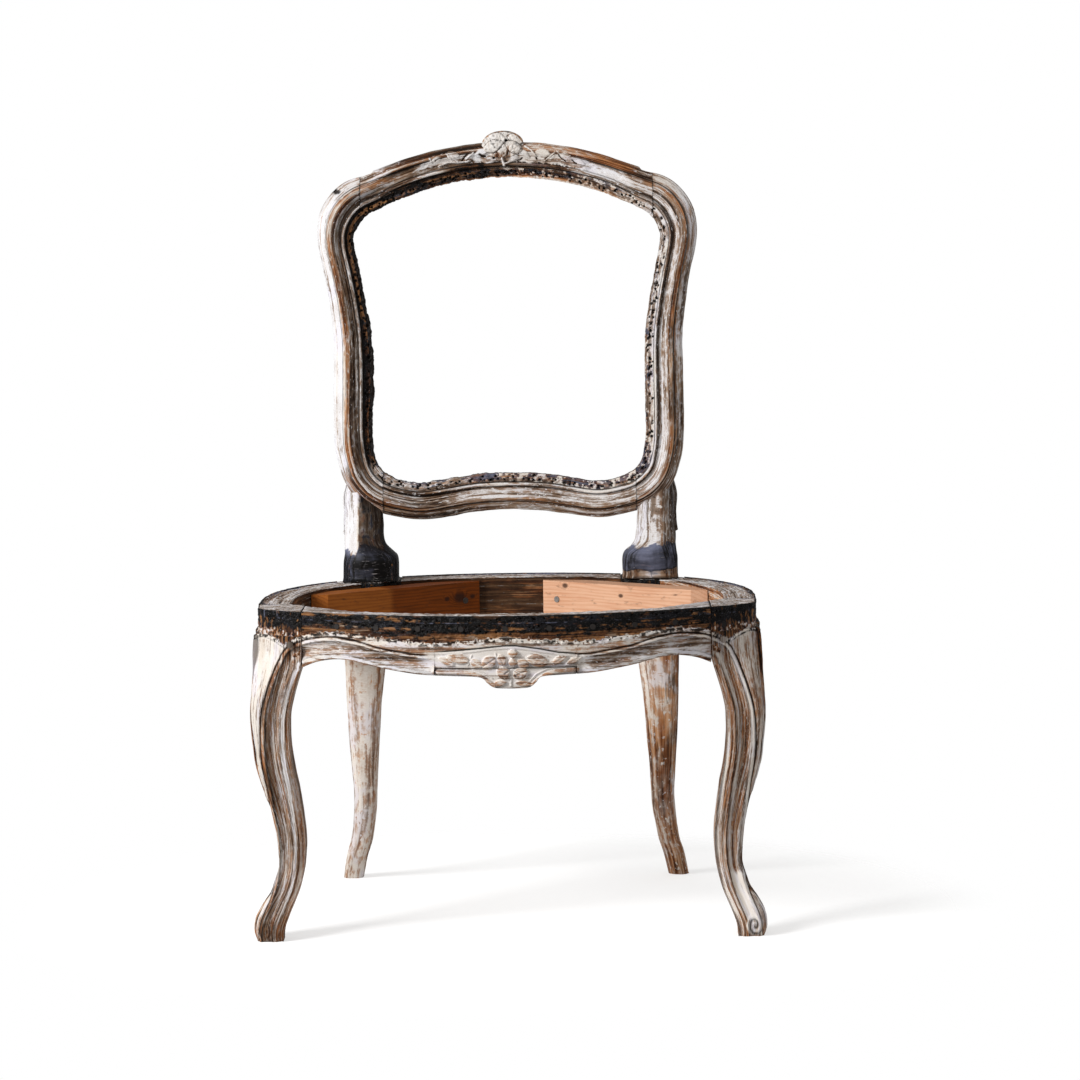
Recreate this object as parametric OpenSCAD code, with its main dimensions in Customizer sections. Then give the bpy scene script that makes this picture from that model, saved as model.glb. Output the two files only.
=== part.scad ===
// Frame of a low rococo side chair, stripped of its upholstery. All sizes in millimetres.
// The chair faces -Y, and the origin is on the floor under the middle of its outline.

/* [Seat frame] */
// Height of the seat frame's top above the floor
seat_h = 360; // [350:1:373]
// Width of the seat frame at its widest
seat_w = 550; // [538:2:566]
// From the middle of the seat's sides forward to the front rail's face, at the centre
front_reach = 194; // [188:1:200]
// From the middle of the seat's sides back to the rear rail's face, at the centre
rear_reach = 264; // [258:1:272]
// Radius of the front rail's bow
front_bow_r = 400; // [385:5:430]
// How square the sides and rear run round, where 2 is an ellipse
squareness = 2.25; // [2.2:0.05:2.35]
// Thickness of the front rail
front_rail_t = 36; // [32:1:40]
// Thickness of the side and rear rails
side_rail_t = 38; // [35:1:41]
// Depth of the side and rear rails, top to bottom
rail_h = 56; // [50:1:60]
// Depth of the rebate that the seat cloth was tacked into
band_t = 4; // [2:0.5:5]

/* [Back] */
// Height of the back opening's top above the seat frame, at the centre
crest_rise = 460; // [445:1:475]
// Height of the back opening's foot above the seat frame, at the centre
low_rise = 119; // [112:1:130]
// How far the back opening's shoulders lie in from the sides of the seat
shoulder_inset = 97; // [92:1:102]
// How far the back opening's waist lies in from the sides of the seat
waist_inset = 117; // [113:1:122]
// Backward rake of the back, in degrees
rake = 10.5; // [8:0.5:13]
// How much deeper the back is at its centre than at its stiles
back_bow = 18; // [12:1:24]
// Thickness of the moulded members of the back
back_t = 28; // [26:1:32]
// From the seat's rearmost face forward to the front face of the back at the stiles
stile_inset = 82; // [78:1:86]

/* [Joinery] */
// Thickness of every tenon
tenon_t = 10; // [8:0.5:12]
// Length of the tenons of the seat rails
tenon_l = 26; // [20:1:28]
// Length of the tenons of the crest rail and the lower back rail
back_tenon_l = 20; // [16:1:22]
// Gap round a tenon in its mortise
fit_gap = 0.2; // [0.1:0.05:0.3]
// Diameter of the oak pegs
peg_d = 7; // [6:0.5:8]
// Gap round a peg in its hole
peg_gap = 0.1; // [0.05:0.05:0.2]

/* [Repairs and leftovers] */
// Thickness of the new diagonal corner boards
board_t = 30; // [26:1:32]
// Depth of the corner boards, top to bottom
board_h = 42; // [36:1:46]
// How far the corner boards lie below the seat frame's top
board_drop = 5; // [3:1:8]
// Length of the nails that hold the corner boards
nail_l = 52; // [46:1:56]
// Number of old tacks left in the front rail
tack_count = 9; // [5:1:13]

/* [Hidden] */
$fn = 48;

// Colours of the old paint, bare wood, tarred rebates, new pine, pegs and iron
old_paint = "#a89c8c";
bare_wood = "#7a5a40";
tarred = "#4a3a30";
new_pine = "#c98f5e";
peg_wood = "#8a6a48";
old_iron = "#5b5a58";

// Seat outline, measured from the middle of the seat's sides
half_seat = seat_w / 2;
side_mid_y = -90;
front_y = side_mid_y - front_reach;
front_bow_y = front_y + front_bow_r;
rim_steps = 24;

// Middle of a rear leg, and the planes where the rails meet the legs
half_top = half_seat - shoulder_inset;
half_waist = half_seat - waist_inset;
rear_leg_x = half_waist + 12;
stile_front_y = side_mid_y + rear_reach - stile_inset;
front_seam_x = half_seat - 56;
leg_corner_x = half_seat - 4;
leg_corner_y = bow_y(front_seam_x, 0) + 17;
side_seam_y = leg_corner_y + 72;
rear_seam_x = rear_leg_x - 43;
post_front_y = stile_front_y - 12;
post_out_x = rear_leg_x + 30;
root = 1;

// Back frame
crest_z = seat_h + crest_rise;
low_z = seat_h + low_rise;
crest_seam_x = half_top - 8;
low_seam_x = half_waist - 12;
crest_w = 41;
low_w = 42;
bow_reach = post_out_x;
ring_steps = 3;

// Seam between the front rail and its glued strip
glue_z = seat_h - 55;

// Carved rosettes: radius of a petal, how far its middle lies out, and the share of it that the boss takes
carving_t = 5;
boss_share = 0.7;
crest_petal_r = 9;
apron_petal_r = 7.5;
petal_spread = 11;
flower_z = crest_z + crest_w - 6;

// The crest's face behind and the boss of the front rosette place the origin between them
back_face_y = stile_front_y + back_bow + (crest_rise + crest_w - 6) * tan(rake) + back_t;
boss_face_y = front_y - carving_t - apron_petal_r * boss_share;
mid_y = (back_face_y + boss_face_y) / 2;

// Curves

function between(a, b, c, d, t) =
    (2 * b + (c - a) * t + (2 * a - 5 * b + 4 * c - d) * t * t + (3 * b - a - 3 * c + d) * t * t * t) / 2;

// Smooth open curve through points
function curve(points, steps) = let (last = len(points) - 1) [
    for (i = [0 : last - 1]) for (s = [0 : steps - 1])
        between(points[max(i - 1, 0)], points[i], points[i + 1], points[min(i + 2, last)], s / steps),
    points[last]
];

// Smooth closed curve through points
function loop_curve(points, steps) = let (n = len(points)) [
    for (i = [0 : n - 1]) for (s = [0 : steps - 1])
        between(points[(i + n - 1) % n], points[i], points[(i + 1) % n], points[(i + 2) % n], s / steps)
];

function backwards(list) = [for (i = [len(list) - 1 : -1 : 0]) list[i]];

// Rounded box section seen from above, from corner to corner, squarer as e grows
function rounded(x0, x1, y0, y1, e) = [
    for (k = [0 : 15]) let (a = k * 22.5, c = cos(a), s = sin(a)) [
        (x0 + x1) / 2 + (x1 - x0) / 2 * sign(c) * pow(abs(c), 2 / e),
        (y0 + y1) / 2 + (y1 - y0) / 2 * sign(s) * pow(abs(s), 2 / e)
    ]
];

function lifted(section, z) = [for (p = section) [p[0], p[1], z]];

function middle(ring) = [for (axis = [0 : 2]) [for (p = ring) p[axis]] * [for (p = ring) 1] / len(ring)];

// Solid through rings of points that turn anticlockwise as seen from the last ring, closed at each end
// by triangles round the middle
module loft(rings) {
    n = len(rings[0]);
    m = len(rings);
    first_middle = m * n;
    last_middle = first_middle + 1;
    walls = [
        for (i = [0 : m - 2]) for (k = [0 : n - 1])
            let (a = i * n + k, b = i * n + (k + 1) % n)
                each [[a, b + n, b], [a, a + n, b + n]]
    ];
    first_cap = [for (k = [0 : n - 1]) [k, (k + 1) % n, first_middle]];
    last_cap = [for (k = [0 : n - 1]) [(m - 1) * n + (k + 1) % n, (m - 1) * n + k, last_middle]];
    polyhedron(
        concat([for (ring = rings) each ring], [middle(rings[0]), middle(rings[m - 1])]),
        concat(walls, first_cap, last_cap),
        convexity = 8
    );
}

module block(low, high) {
    translate(low) cube(high - low);
}

// Outline seen from the front, carried from y0 back to y1
module sawn_front(outline, y0, y1) {
    translate([0, y1, 0]) rotate([90, 0, 0]) linear_extrude(y1 - y0) polygon(outline);
}

// Outline of Y and Z seen from the side, carried from x0 to x1
module sawn_side(outline, x0, x1) {
    translate([x0, 0, 0]) rotate([90, 0, 90]) linear_extrude(x1 - x0) polygon(outline);
}

// Outline seen from above, carried from z0 up to z1
module sawn_plan(outline, z0, z1) {
    translate([0, 0, z0]) linear_extrude(z1 - z0) polygon(outline);
}

module both_sides() {
    children();
    mirror([1, 0, 0]) children();
}

module placed() {
    translate([0, -mid_y, 0]) children();
}

// Plan of the seat

// Right half of the rim round the sides and rear, from the side to the rear centre, set in by inset
function rim(inset) = [
    for (i = [0 : rim_steps]) let (a = 90 * i / rim_steps) [
        (half_seat - inset) * pow(cos(a), 2 / squareness),
        side_mid_y + (rear_reach - inset) * pow(sin(a), 2 / squareness)
    ]
];

function rim_y(x, inset) =
    side_mid_y + (rear_reach - inset) * pow(1 - pow(x / (half_seat - inset), squareness), 1 / squareness);

function rim_x(y, inset) =
    (half_seat - inset) * pow(1 - pow((y - side_mid_y) / (rear_reach - inset), squareness), 1 / squareness);

function bow_y(x, inset) = front_bow_y - sqrt(pow(front_bow_r - inset, 2) - x * x);

haunch_x = front_seam_x - 53;
post_inner_y = side_seam_y - 20;
post_round_x = half_seat - 7;
post_corner_l = 12;
bow_steps = 16;

function rail_bow(reach, inset) = [
    for (i = [0 : bow_steps]) let (x = -reach + 2 * reach * i / bow_steps) [x, bow_y(x, inset)]
];

function front_rail_plan() = concat(
    rail_bow(front_seam_x, 0),
    [[front_seam_x, post_inner_y]],
    backwards(rail_bow(haunch_x, front_rail_t)),
    [[-front_seam_x, post_inner_y]]
);

function front_post_plan(inset) = [
    [front_seam_x, bow_y(front_seam_x, inset)],
    [(front_seam_x + post_round_x) / 2, bow_y((front_seam_x + post_round_x) / 2, inset)],
    [post_round_x - inset, bow_y(post_round_x - inset, inset)],
    [half_seat - 2 - inset, bow_y(post_round_x, inset) + post_corner_l],
    [half_seat - inset, side_seam_y],
    [half_seat - side_rail_t, side_seam_y],
    [front_seam_x, post_inner_y]
];

// Front face of the diagonal corner boards: a line from near the rear rail to near the side rail
board_rear = [rear_seam_x - 90, side_mid_y + rear_reach - 46];
board_side = [half_seat - 58, post_front_y - 90];
board_angle = atan2(board_side[1] - board_rear[1], board_side[0] - board_rear[0]);
board_rest_gap = 0.3;

function board_back_y(x) =
    board_rear[1] + (x - board_rear[0]) * tan(board_angle) + (board_t + board_rest_gap) / cos(board_angle);

function board_back_x(y) =
    board_rear[0] + (y - board_rear[1] - (board_t + board_rest_gap) / cos(board_angle)) / tan(board_angle);

function rear_post_plan(inset) = concat(
    [
        [rear_seam_x, board_back_y(rear_seam_x)],
        [board_back_x(post_front_y), post_front_y],
        [post_out_x - inset, post_front_y]
    ],
    [
        for (i = [0 : 6])
            let (x = post_out_x - inset - i * (post_out_x - inset - rear_seam_x) / 6) [x, rim_y(x, inset)]
    ]
);

// All that lies outside the tacking band round the sides and rear, above the moulding
shoulder_z = seat_h - 28;

module band_cut() {
    start_y = side_seam_y - root;
    right = concat([[half_seat - band_t, start_y]], rim(band_t));
    sawn_plan(
        concat(
            right, [for (p = backwards(right)) if (p[1] < side_mid_y + rear_reach - band_t) [-p[0], p[1]]],
            [[-seat_w, start_y], [-seat_w, seat_w], [seat_w, seat_w], [seat_w, start_y]]
        ),
        shoulder_z, seat_h + root
    );
}

// Joints of the seat

tenon_margin = 13;
seat_tenon_top = seat_h - tenon_margin;
seat_tenon_foot = seat_h - rail_h + tenon_margin;
front_tenon_y = bow_y(front_seam_x, front_rail_t / 2);
side_tenon_x = half_seat - side_rail_t / 2;
rear_tenon_y = rim_y(rear_seam_x, side_rail_t / 2);
side_rear_tenon_x = post_out_x - 18;

module front_tenon(gap) {
    block(
        [front_seam_x - root, front_tenon_y - tenon_t / 2 - gap, seat_tenon_foot - gap],
        [front_seam_x + tenon_l + gap, front_tenon_y + tenon_t / 2 + gap, seat_tenon_top + gap]
    );
}

module side_front_tenon(gap) {
    block(
        [side_tenon_x - tenon_t / 2 - gap, side_seam_y - tenon_l - gap, seat_tenon_foot - gap],
        [side_tenon_x + tenon_t / 2 + gap, side_seam_y + root, seat_tenon_top + gap]
    );
}

module side_rear_tenon(gap) {
    block(
        [side_rear_tenon_x - tenon_t / 2 - gap, post_front_y - root, seat_tenon_foot - gap],
        [side_rear_tenon_x + tenon_t / 2 + gap, post_front_y + tenon_l + gap, seat_tenon_top + gap]
    );
}

module rear_tenon(gap) {
    block(
        [rear_seam_x - root, rear_tenon_y - tenon_t / 2 - gap, seat_tenon_foot - gap],
        [rear_seam_x + tenon_l + gap, rear_tenon_y + tenon_t / 2 + gap, seat_tenon_top + gap]
    );
}

// Peg levels in the seat joints, a quarter of the tenon's depth from its edges
peg_z = [
    seat_tenon_foot + (seat_tenon_top - seat_tenon_foot) * 0.25,
    seat_tenon_foot + (seat_tenon_top - seat_tenon_foot) * 0.75
];

// How far the seat's face lies in at this height: the tacking band is let in above the moulding
function skin(z) = z > shoulder_z ? band_t : 0;

// Level of the front leg's faces at its lower pegs, which stand in from the outermost planes
front_peg_face_y = bow_y(front_seam_x, 0) + 0.5;
side_peg_face_x = half_seat - 2.4;

module peg_y(x, y0, y1, z, gap) {
    translate([x, y0, z]) rotate([-90, 0, 0]) cylinder(d = peg_d + 2 * gap, h = y1 - y0);
}

module peg_x(x0, x1, y, z, gap) {
    translate([x0, y, z]) rotate([0, 90, 0]) cylinder(d = peg_d + 2 * gap, h = x1 - x0);
}

front_peg_x = front_seam_x + tenon_l / 2;
side_front_peg_y = side_seam_y - tenon_l / 2;
side_rear_peg_y = post_front_y + tenon_l / 2;
rear_peg_x = rear_seam_x + tenon_l / 2;
peg_end = 14;
side_peg_end = 10;

module front_peg_set(gap) {
    for (z = peg_z) {
        face_y = z > shoulder_z ? bow_y(front_peg_x, band_t) : front_peg_face_y;
        peg_y(front_peg_x, face_y, front_tenon_y + tenon_t / 2 + peg_end, z, gap);
    }
}

module side_front_peg_set(gap) {
    for (z = peg_z) {
        face_x = z > shoulder_z ? half_seat - root - band_t : side_peg_face_x;
        peg_x(side_tenon_x - tenon_t / 2 - side_peg_end, face_x, side_front_peg_y, z, gap);
    }
}

module side_rear_peg_set(gap) {
    for (z = peg_z)
        peg_x(
            side_rear_tenon_x - tenon_t / 2 - peg_end, rim_x(side_rear_peg_y, skin(z)),
            side_rear_peg_y, z, gap
        );
}

module rear_peg_set(gap) {
    for (z = peg_z)
        peg_y(rear_peg_x, rear_tenon_y - tenon_t / 2 - peg_end, rim_y(rear_peg_x, skin(z)), z, gap);
}

// Front legs

// Height, outer edge and inner edge from the corner, and the flare towards the rails
front_leg_stations = [
    [0, 4, -25, 0],
    [12, 6.5, -26, 0],
    [25, 5, -30.5, 0],
    [38, -2, -36, 0],
    [50, -10, -41, 0],
    [62, -14.5, -44.5, 0],
    [77, -18.5, -47.5, 0],
    [102, -17.5, -49.5, 0],
    [126, -14, -48, 0],
    [seat_h - 195, -5, -43, 0],
    [seat_h - 170, 1.5, -38.5, 0],
    [seat_h - 150, 4, -36, 0],
    [seat_h - 130, 6, -35.5, 1],
    [seat_h - 112, 7, -36.5, 2],
    [seat_h - 92, 6, -41, 5],
    [seat_h - 75, 5, -46, 9],
    [seat_h - 60, 5, -50.5, 13],
    [shoulder_z, 3.5, -51.5, 16]
];

// Section of a front leg: a bead, a hollow and a ridge on the front face and on the side face
function leg_section(x0, x1, y0, y1, cut) = [
    for (p = [
        [-0.72, -1], [-0.5, -1], [-0.3, -0.86], [0.1, -0.86], [0.42 - 0.3 * cut, -1],
        [0.82 - 0.16 * cut, -0.82 + 0.16 * cut],
        [1, -0.42 + 0.3 * cut], [0.86, -0.1], [0.86, 0.3], [1, 0.5], [1, 0.72], [0.72, 1],
        [-0.6, 1], [-0.88, 0.88], [-1, 0.6], [-1, -0.6]
    ]) [(x0 + x1) / 2 + p[0] * (x1 - x0) / 2, (y0 + y1) / 2 + p[1] * (y1 - y0) / 2]
];

function front_leg_rings() = [
    for (s = curve(front_leg_stations, 2)) lifted(
        leg_section(
            leg_corner_x + s[2], leg_corner_x + s[1],
            leg_corner_y - s[1] - s[3], leg_corner_y - s[2] + s[3],
            max(0, s[3] / 16)
        ),
        s[0]
    )
];

module front_leg() {
    color(old_paint) difference() {
        union() {
            loft(front_leg_rings());
            sawn_plan(front_post_plan(band_t), seat_h - rail_h + 2, seat_h);
        }
        front_tenon(fit_gap);
        side_front_tenon(fit_gap);
        front_peg_set(peg_gap);
        side_front_peg_set(peg_gap);
    }
}

// Back frame

// Front surface of the back: raked, and deepest at the centre
function back_y(x, z) =
    stile_front_y + (z - seat_h) * tan(rake) + back_bow * (1 - pow(x / bow_reach, 2));

// Inner edge of the back, from the crest's centre down the right side to the lower rail's centre,
// with the moulding's width at each point
inner_edge = [
    [0, crest_z, crest_w],
    [half_top - 125, crest_z - 4, 41],
    [half_top - 78, crest_z - 15, 41.5],
    [half_top - 31, crest_z - 34, 44],
    [half_top - 13, crest_z - 44, 47],
    [half_top - 3, crest_z - 58, 46],
    [half_top, crest_z - 75, 41],
    [half_top - 7, crest_z - 110, 40.5],
    [half_top - 14, crest_z - 147, 41.5],
    [half_waist + 1, crest_z - 185, 43],
    [half_waist, crest_z - 235, 44],
    [half_waist, low_z + 45, 44],
    [half_waist - 4, low_z + 18, 43],
    [half_waist - 10, low_z + 6, 43],
    [half_waist - 21, low_z - 2, 43],
    [half_waist - 40, low_z - 8, low_w],
    [half_waist - 59, low_z - 10, low_w],
    [half_waist - 87, low_z - 6, low_w],
    [half_waist - 119, low_z - 1.5, low_w],
    [0, low_z, low_w]
];
half_count = len(inner_edge);
edge_points = loop_curve(
    concat(
        inner_edge,
        [for (i = [half_count - 2 : -1 : 1]) [-inner_edge[i][0], inner_edge[i][1], inner_edge[i][2]]]
    ),
    ring_steps
);
edge_count = len(edge_points);

// Moulding of the back as [out from the inner edge, back from the front face] on a width of 43:
// tacking rebate, bead, hollow, ridge and outer hollow, then round the back
function moulding(w) = [
    for (p = [
        [0, back_t - 4], [5, back_t], [37, back_t], [42, back_t - 3], [43, 16], [42, 12], [37, 7],
        [33, 1.5], [29, 0], [25, 2], [20, 6], [15, 4.5], [13, 2.2], [10.5, 3], [9.5, 7], [0, 7]
    ]) [p[0] * w / 43, p[1]]
];

function edge_at(i) = edge_points[(i + edge_count) % edge_count];

function back_ring(i) = let (
    here = edge_at(i),
    along = edge_at(i + 1) - edge_at(i - 1),
    size = norm([along[0], along[1]]),
    out = [-along[1] / size, along[0] / size]
) [
    for (m = moulding(here[2]))
        let (x = here[0] + m[0] * out[0], z = here[1] + m[0] * out[1]) [x, back_y(x, z) + m[1], z]
];

// Stretch of the moulded frame between two places along inner_edge
module back_stretch(first, last) {
    loft([for (i = [first * ring_steps : last * ring_steps]) back_ring(i)]);
}

// Joints of the back

back_joint_z = crest_z - 28;
low_joint_z = low_z - 22;
back_tenon_h = 20;

module back_tenon(seam_x, z, gap) {
    y = back_y(seam_x + back_tenon_l / 2, z) + back_t / 2 + 2;
    block(
        [seam_x - root, y - tenon_t / 2 - gap, z - back_tenon_h / 2 - gap],
        [seam_x + back_tenon_l + gap, y + tenon_t / 2 + gap, z + back_tenon_h / 2 + gap]
    );
}

module back_peg(seam_x, z, gap) {
    x = seam_x + back_tenon_l / 2;
    peg_y(x, back_y(x, z) + 7, back_y(x, z) + back_t, z, gap);
}

// Rear legs, each with its back stile in one piece

// Height, inner and outer edge from the leg's middle, front and back from the stile's face,
// and how square the section is
rear_leg_stations = [
    [0, 9, 34, 82, 108, 2.6],
    [28, 3, 29, 64, 91, 2.6],
    [51, -3.5, 22.5, 50, 77, 2.6],
    [81, -9, 18.5, 35, 63, 2.6],
    [110, -11.5, 17, 23, 53, 2.6],
    [150, -14, 19, 11, 46, 2.6],
    [seat_h - 148, -19, 22, 1, 42, 2.8],
    [seat_h - 102, -24, 23, -6, 40, 3],
    [seat_h - 70, -27, 24, -9, 40, 3.4],
    [seat_h - 40, -27, 23, -8, 37, 4],
    [seat_h - 5, -26, 23, -8, 34, 4.5],
    [seat_h + 1, -41, 23, -10.5, 34, 8],
    [seat_h + 20, -41.5, 23, -11, 34, 8],
    [seat_h + 30, -39, 21, -9, 34, 7],
    [seat_h + 38, -30, 22, -2, 35, 6],
    [seat_h + 48, -25, 22.5, 4, 37, 5],
    neck_station(low_z - 47, -24, 21.5, 2, 28),
    neck_station(low_z - 25, -21, 22.5, 5, 26),
    neck_station(low_z - 5, -10, 18, 9, 22)
];

// Sections of the neck between the block and the lower back rail follow the rake of the back
function neck_station(z, x0, x1, y0, y1) =
    let (lean = back_y(rear_leg_x, z) - stile_front_y) [z, x0, x1, lean + y0, lean + y1, 4];

function rear_leg_rings() = [
    for (s = curve(rear_leg_stations, 2)) lifted(
        rounded(
            rear_leg_x + s[1], rear_leg_x + s[2], stile_front_y + s[3], stile_front_y + s[4], s[5]
        ),
        s[0]
    )
];

module rear_leg() {
    keep_top = crest_z + 100;
    neck_top = crest_z - 70;
    color(old_paint) difference() {
        union() {
            loft(rear_leg_rings());
            difference() {
                sawn_plan(rear_post_plan(0), seat_h - rail_h, seat_h);
                band_cut();
            }
            intersection() {
                back_stretch(3, 15);
                sawn_front(
                    [
                        [low_seam_x, 0], [seat_w, 0], [seat_w, keep_top],
                        [crest_seam_x, keep_top], [crest_seam_x, neck_top], [low_seam_x, neck_top]
                    ],
                    0, seat_w
                );
            }
        }
        side_rear_tenon(fit_gap);
        rear_tenon(fit_gap);
        side_rear_peg_set(peg_gap);
        rear_peg_set(peg_gap);
        back_tenon(crest_seam_x, back_joint_z, fit_gap);
        back_tenon(low_seam_x, low_joint_z, fit_gap);
        back_peg(crest_seam_x, back_joint_z, peg_gap);
        back_peg(low_seam_x, low_joint_z, peg_gap);
    }
}

// Carved rosette of five petals round a boss, facing the front at y
module rosette(y, z, petal_r) {
    petal_l = 3 * carving_t;
    outline = [
        for (k = [0 : 59]) let (a = k * 6, r = petal_spread + petal_r * pow(abs(cos(2.5 * a)), 0.8))
            [r * sin(a), z + r * cos(a)]
    ];
    sawn_front(outline, y - petal_l / 2, y + petal_l / 2);
    translate([0, y - carving_t, z]) sphere(r = petal_r * boss_share);
}

module crest_rail() {
    color(old_paint) difference() {
        union() {
            intersection() {
                back_stretch(-5, 5);
                block([-crest_seam_x, 0, low_z], [crest_seam_x, seat_w, crest_z + 100]);
            }
            rosette(back_y(0, flower_z) + carving_t, flower_z, crest_petal_r);
            both_sides() back_tenon(crest_seam_x, back_joint_z, 0);
        }
        both_sides() back_peg(crest_seam_x, back_joint_z, peg_gap);
    }
}

module lower_back_rail() {
    color(old_paint) difference() {
        union() {
            intersection() {
                back_stretch(13, 25);
                block([-low_seam_x, 0, seat_h], [low_seam_x, seat_w, low_z + 40]);
            }
            both_sides() back_tenon(low_seam_x, low_joint_z, 0);
        }
        both_sides() back_peg(low_seam_x, low_joint_z, peg_gap);
    }
}

// Front rail and its glued pendant strip

pendant_x = front_seam_x - 143;
pendant_drop = 77;
outline_steps = 4;

// Underside of the front rail from its end to the glue line, and edge of the tacking band
rail_foot = curve([
    [front_seam_x, seat_h - 60], [front_seam_x - 16, seat_h - 53], [front_seam_x - 36, seat_h - 49],
    [front_seam_x - 56, seat_h - 50], [front_seam_x - 81, seat_h - 55.5], [front_seam_x - 106, seat_h - 59.5],
    [front_seam_x - 125, seat_h - 62], [pendant_x, seat_h - 63]
], outline_steps);
band_foot = curve([
    [front_seam_x + root, seat_h - 26], [front_seam_x * 0.88, seat_h - 20], [front_seam_x * 0.75, seat_h - 21],
    [front_seam_x * 0.56, seat_h - 25], [front_seam_x * 0.38, seat_h - 28], [front_seam_x * 0.18, seat_h - 26],
    [0, seat_h - 23]
], outline_steps);
// Right half of the pendant's underside
pendant_foot = curve([
    [pendant_x, seat_h - 63], [pendant_x * 0.76, seat_h - 63.5], [pendant_x * 0.42, seat_h - 65],
    [pendant_x * 0.32, seat_h - 71], [pendant_x * 0.21, seat_h - 76], [0, seat_h - pendant_drop]
], outline_steps);

function mirrored(points) = [for (p = backwards(points)) if (p[0] > 0) [-p[0], p[1]]];

apron_flower_z = glue_z + 5;

// The part of the front rosette between two heights, as the seam divides it
module apron_rosette(z0, z1) {
    half_w = petal_spread + 2 * apron_petal_r;
    intersection() {
        rosette(front_y, apron_flower_z, apron_petal_r);
        block([-half_w, front_y - half_w, z0], [half_w, front_y + carving_t, z1]);
    }
}

module front_seat_rail() {
    rail_outline = concat(
        rail_foot, [[pendant_x, glue_z], [-pendant_x, glue_z]], mirrored(rail_foot),
        [[-front_seam_x, seat_h], [front_seam_x, seat_h]]
    );
    band_outline = concat(
        band_foot, mirrored(band_foot),
        [[-front_seam_x - root, seat_h + root], [front_seam_x + root, seat_h + root]]
    );
    color(tarred) difference() {
        union() {
            intersection() {
                sawn_plan(front_rail_plan(), seat_h - pendant_drop, seat_h);
                sawn_front(rail_outline, front_y - root, side_seam_y);
            }
            apron_rosette(glue_z, seat_h);
            both_sides() front_tenon(0);
        }
        difference() {
            sawn_front(band_outline, front_y - root, bow_y(front_seam_x, band_t) + root);
            translate([0, front_bow_y, glue_z]) cylinder(r = front_bow_r - band_t, h = seat_h, $fn = 180);
        }
        both_sides() front_peg_set(peg_gap);
        tack_shafts(tack_gap);
    }
}

module apron_pendant() {
    color(old_paint) union() {
        intersection() {
            sawn_plan(front_rail_plan(), seat_h - pendant_drop - root, glue_z);
            sawn_front(
                concat(pendant_foot, mirrored(pendant_foot), [[-pendant_x, glue_z], [pendant_x, glue_z]]),
                front_y - root, side_seam_y
            );
        }
        apron_rosette(seat_h - pendant_drop, glue_z);
    }
}

// Side and rear rails

module side_seat_rail() {
    outer = [for (p = rim(0)) if (p[1] < rim_y(post_out_x, 0)) p];
    inner = [for (p = rim(side_rail_t)) if (p[1] < post_front_y) p];
    plan = concat(
        [[half_seat, side_seam_y]], outer, [[post_out_x, rim_y(post_out_x, 0)], [post_out_x, post_front_y]],
        [[inner[len(inner) - 1][0], post_front_y]], backwards(inner), [[half_seat - side_rail_t, side_seam_y]]
    );
    foot = curve([
        [side_seam_y, seat_h - rail_h], [side_seam_y + 30, seat_h - rail_h + 6],
        [side_mid_y + 60, seat_h - rail_h + 8], [side_mid_y + 130, seat_h - rail_h + 4],
        [rear_reach, seat_h - rail_h]
    ], outline_steps);
    color(bare_wood) difference() {
        union() {
            intersection() {
                sawn_plan(plan, seat_h - rail_h - root, seat_h);
                sawn_side(concat(foot, [[rear_reach, seat_h], [side_seam_y, seat_h]]), 0, seat_w);
            }
            side_front_tenon(0);
            side_rear_tenon(0);
        }
        band_cut();
        side_front_peg_set(peg_gap);
        side_rear_peg_set(peg_gap);
        nail_shafts(nail_gap);
    }
}

module rear_seat_rail() {
    steps = 8;
    reach = [for (i = [0 : 2 * steps]) -rear_seam_x + rear_seam_x * i / steps];
    color(bare_wood) difference() {
        union() {
            sawn_plan(
                concat(
                    [for (x = reach) [x, rim_y(abs(x), side_rail_t)]],
                    [for (x = backwards(reach)) [x, rim_y(abs(x), 0)]]
                ),
                seat_h - rail_h, seat_h
            );
            both_sides() rear_tenon(0);
        }
        band_cut();
        both_sides() rear_peg_set(peg_gap);
        both_sides() nail_shafts(nail_gap);
    }
}

// New corner boards, their nails, and the old tacks

nail_d = 2.6;
nail_head_d = 7;
nail_head_t = 1;
nail_gap = 0.1;
nail_inset = 20;
board_run = norm(board_side - board_rear);
board_mid_z = seat_h - board_drop - board_h / 2;

module at_board() {
    translate([board_rear[0], board_rear[1], 0]) rotate([0, 0, board_angle]) children();
}

module rear_corner_board() {
    inside = concat([[0, side_mid_y]], rim(side_rail_t + board_rest_gap));
    color(new_pine) difference() {
        intersection() {
            at_board() block(
                [-board_run, 0, seat_h - board_drop - board_h],
                [2 * board_run, board_t, seat_h - board_drop]
            );
            sawn_plan(inside, 0, seat_h);
            block([board_rear[0], 0, 0], [seat_w, seat_w, seat_h]);
        }
        nail_shafts(nail_gap);
    }
}

// Two nails through each board, square to its face, into the wood behind it
module at_nails() {
    at_board() for (x = [nail_inset, board_run - nail_inset])
        translate([x, 0, board_mid_z]) rotate([-90, 0, 0]) children();
}

module nail_shafts(gap) {
    rise = nail_head_t / 2;
    at_nails() translate([0, 0, -rise]) cylinder(d = nail_d + 2 * gap, h = nail_l + rise + gap);
}

module board_nails() {
    nail_shafts(0);
    at_nails() translate([0, 0, -nail_head_t]) cylinder(d = nail_head_d, h = nail_head_t);
}

tack_w = 1.6;
tack_head_d = 6;
tack_head_t = 1;
tack_l = 9;
tack_gap = 0.1;
tack_spread = 27;
tack_z = seat_h - 14;

module at_tacks() {
    for (k = [0 : tack_count - 1])
        translate([0, front_bow_y, tack_z])
            rotate([0, 0, -tack_spread + 2 * tack_spread * k / (tack_count - 1)])
                translate([0, -front_bow_r + band_t, 0]) rotate([-90, 0, 0]) children();
}

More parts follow.
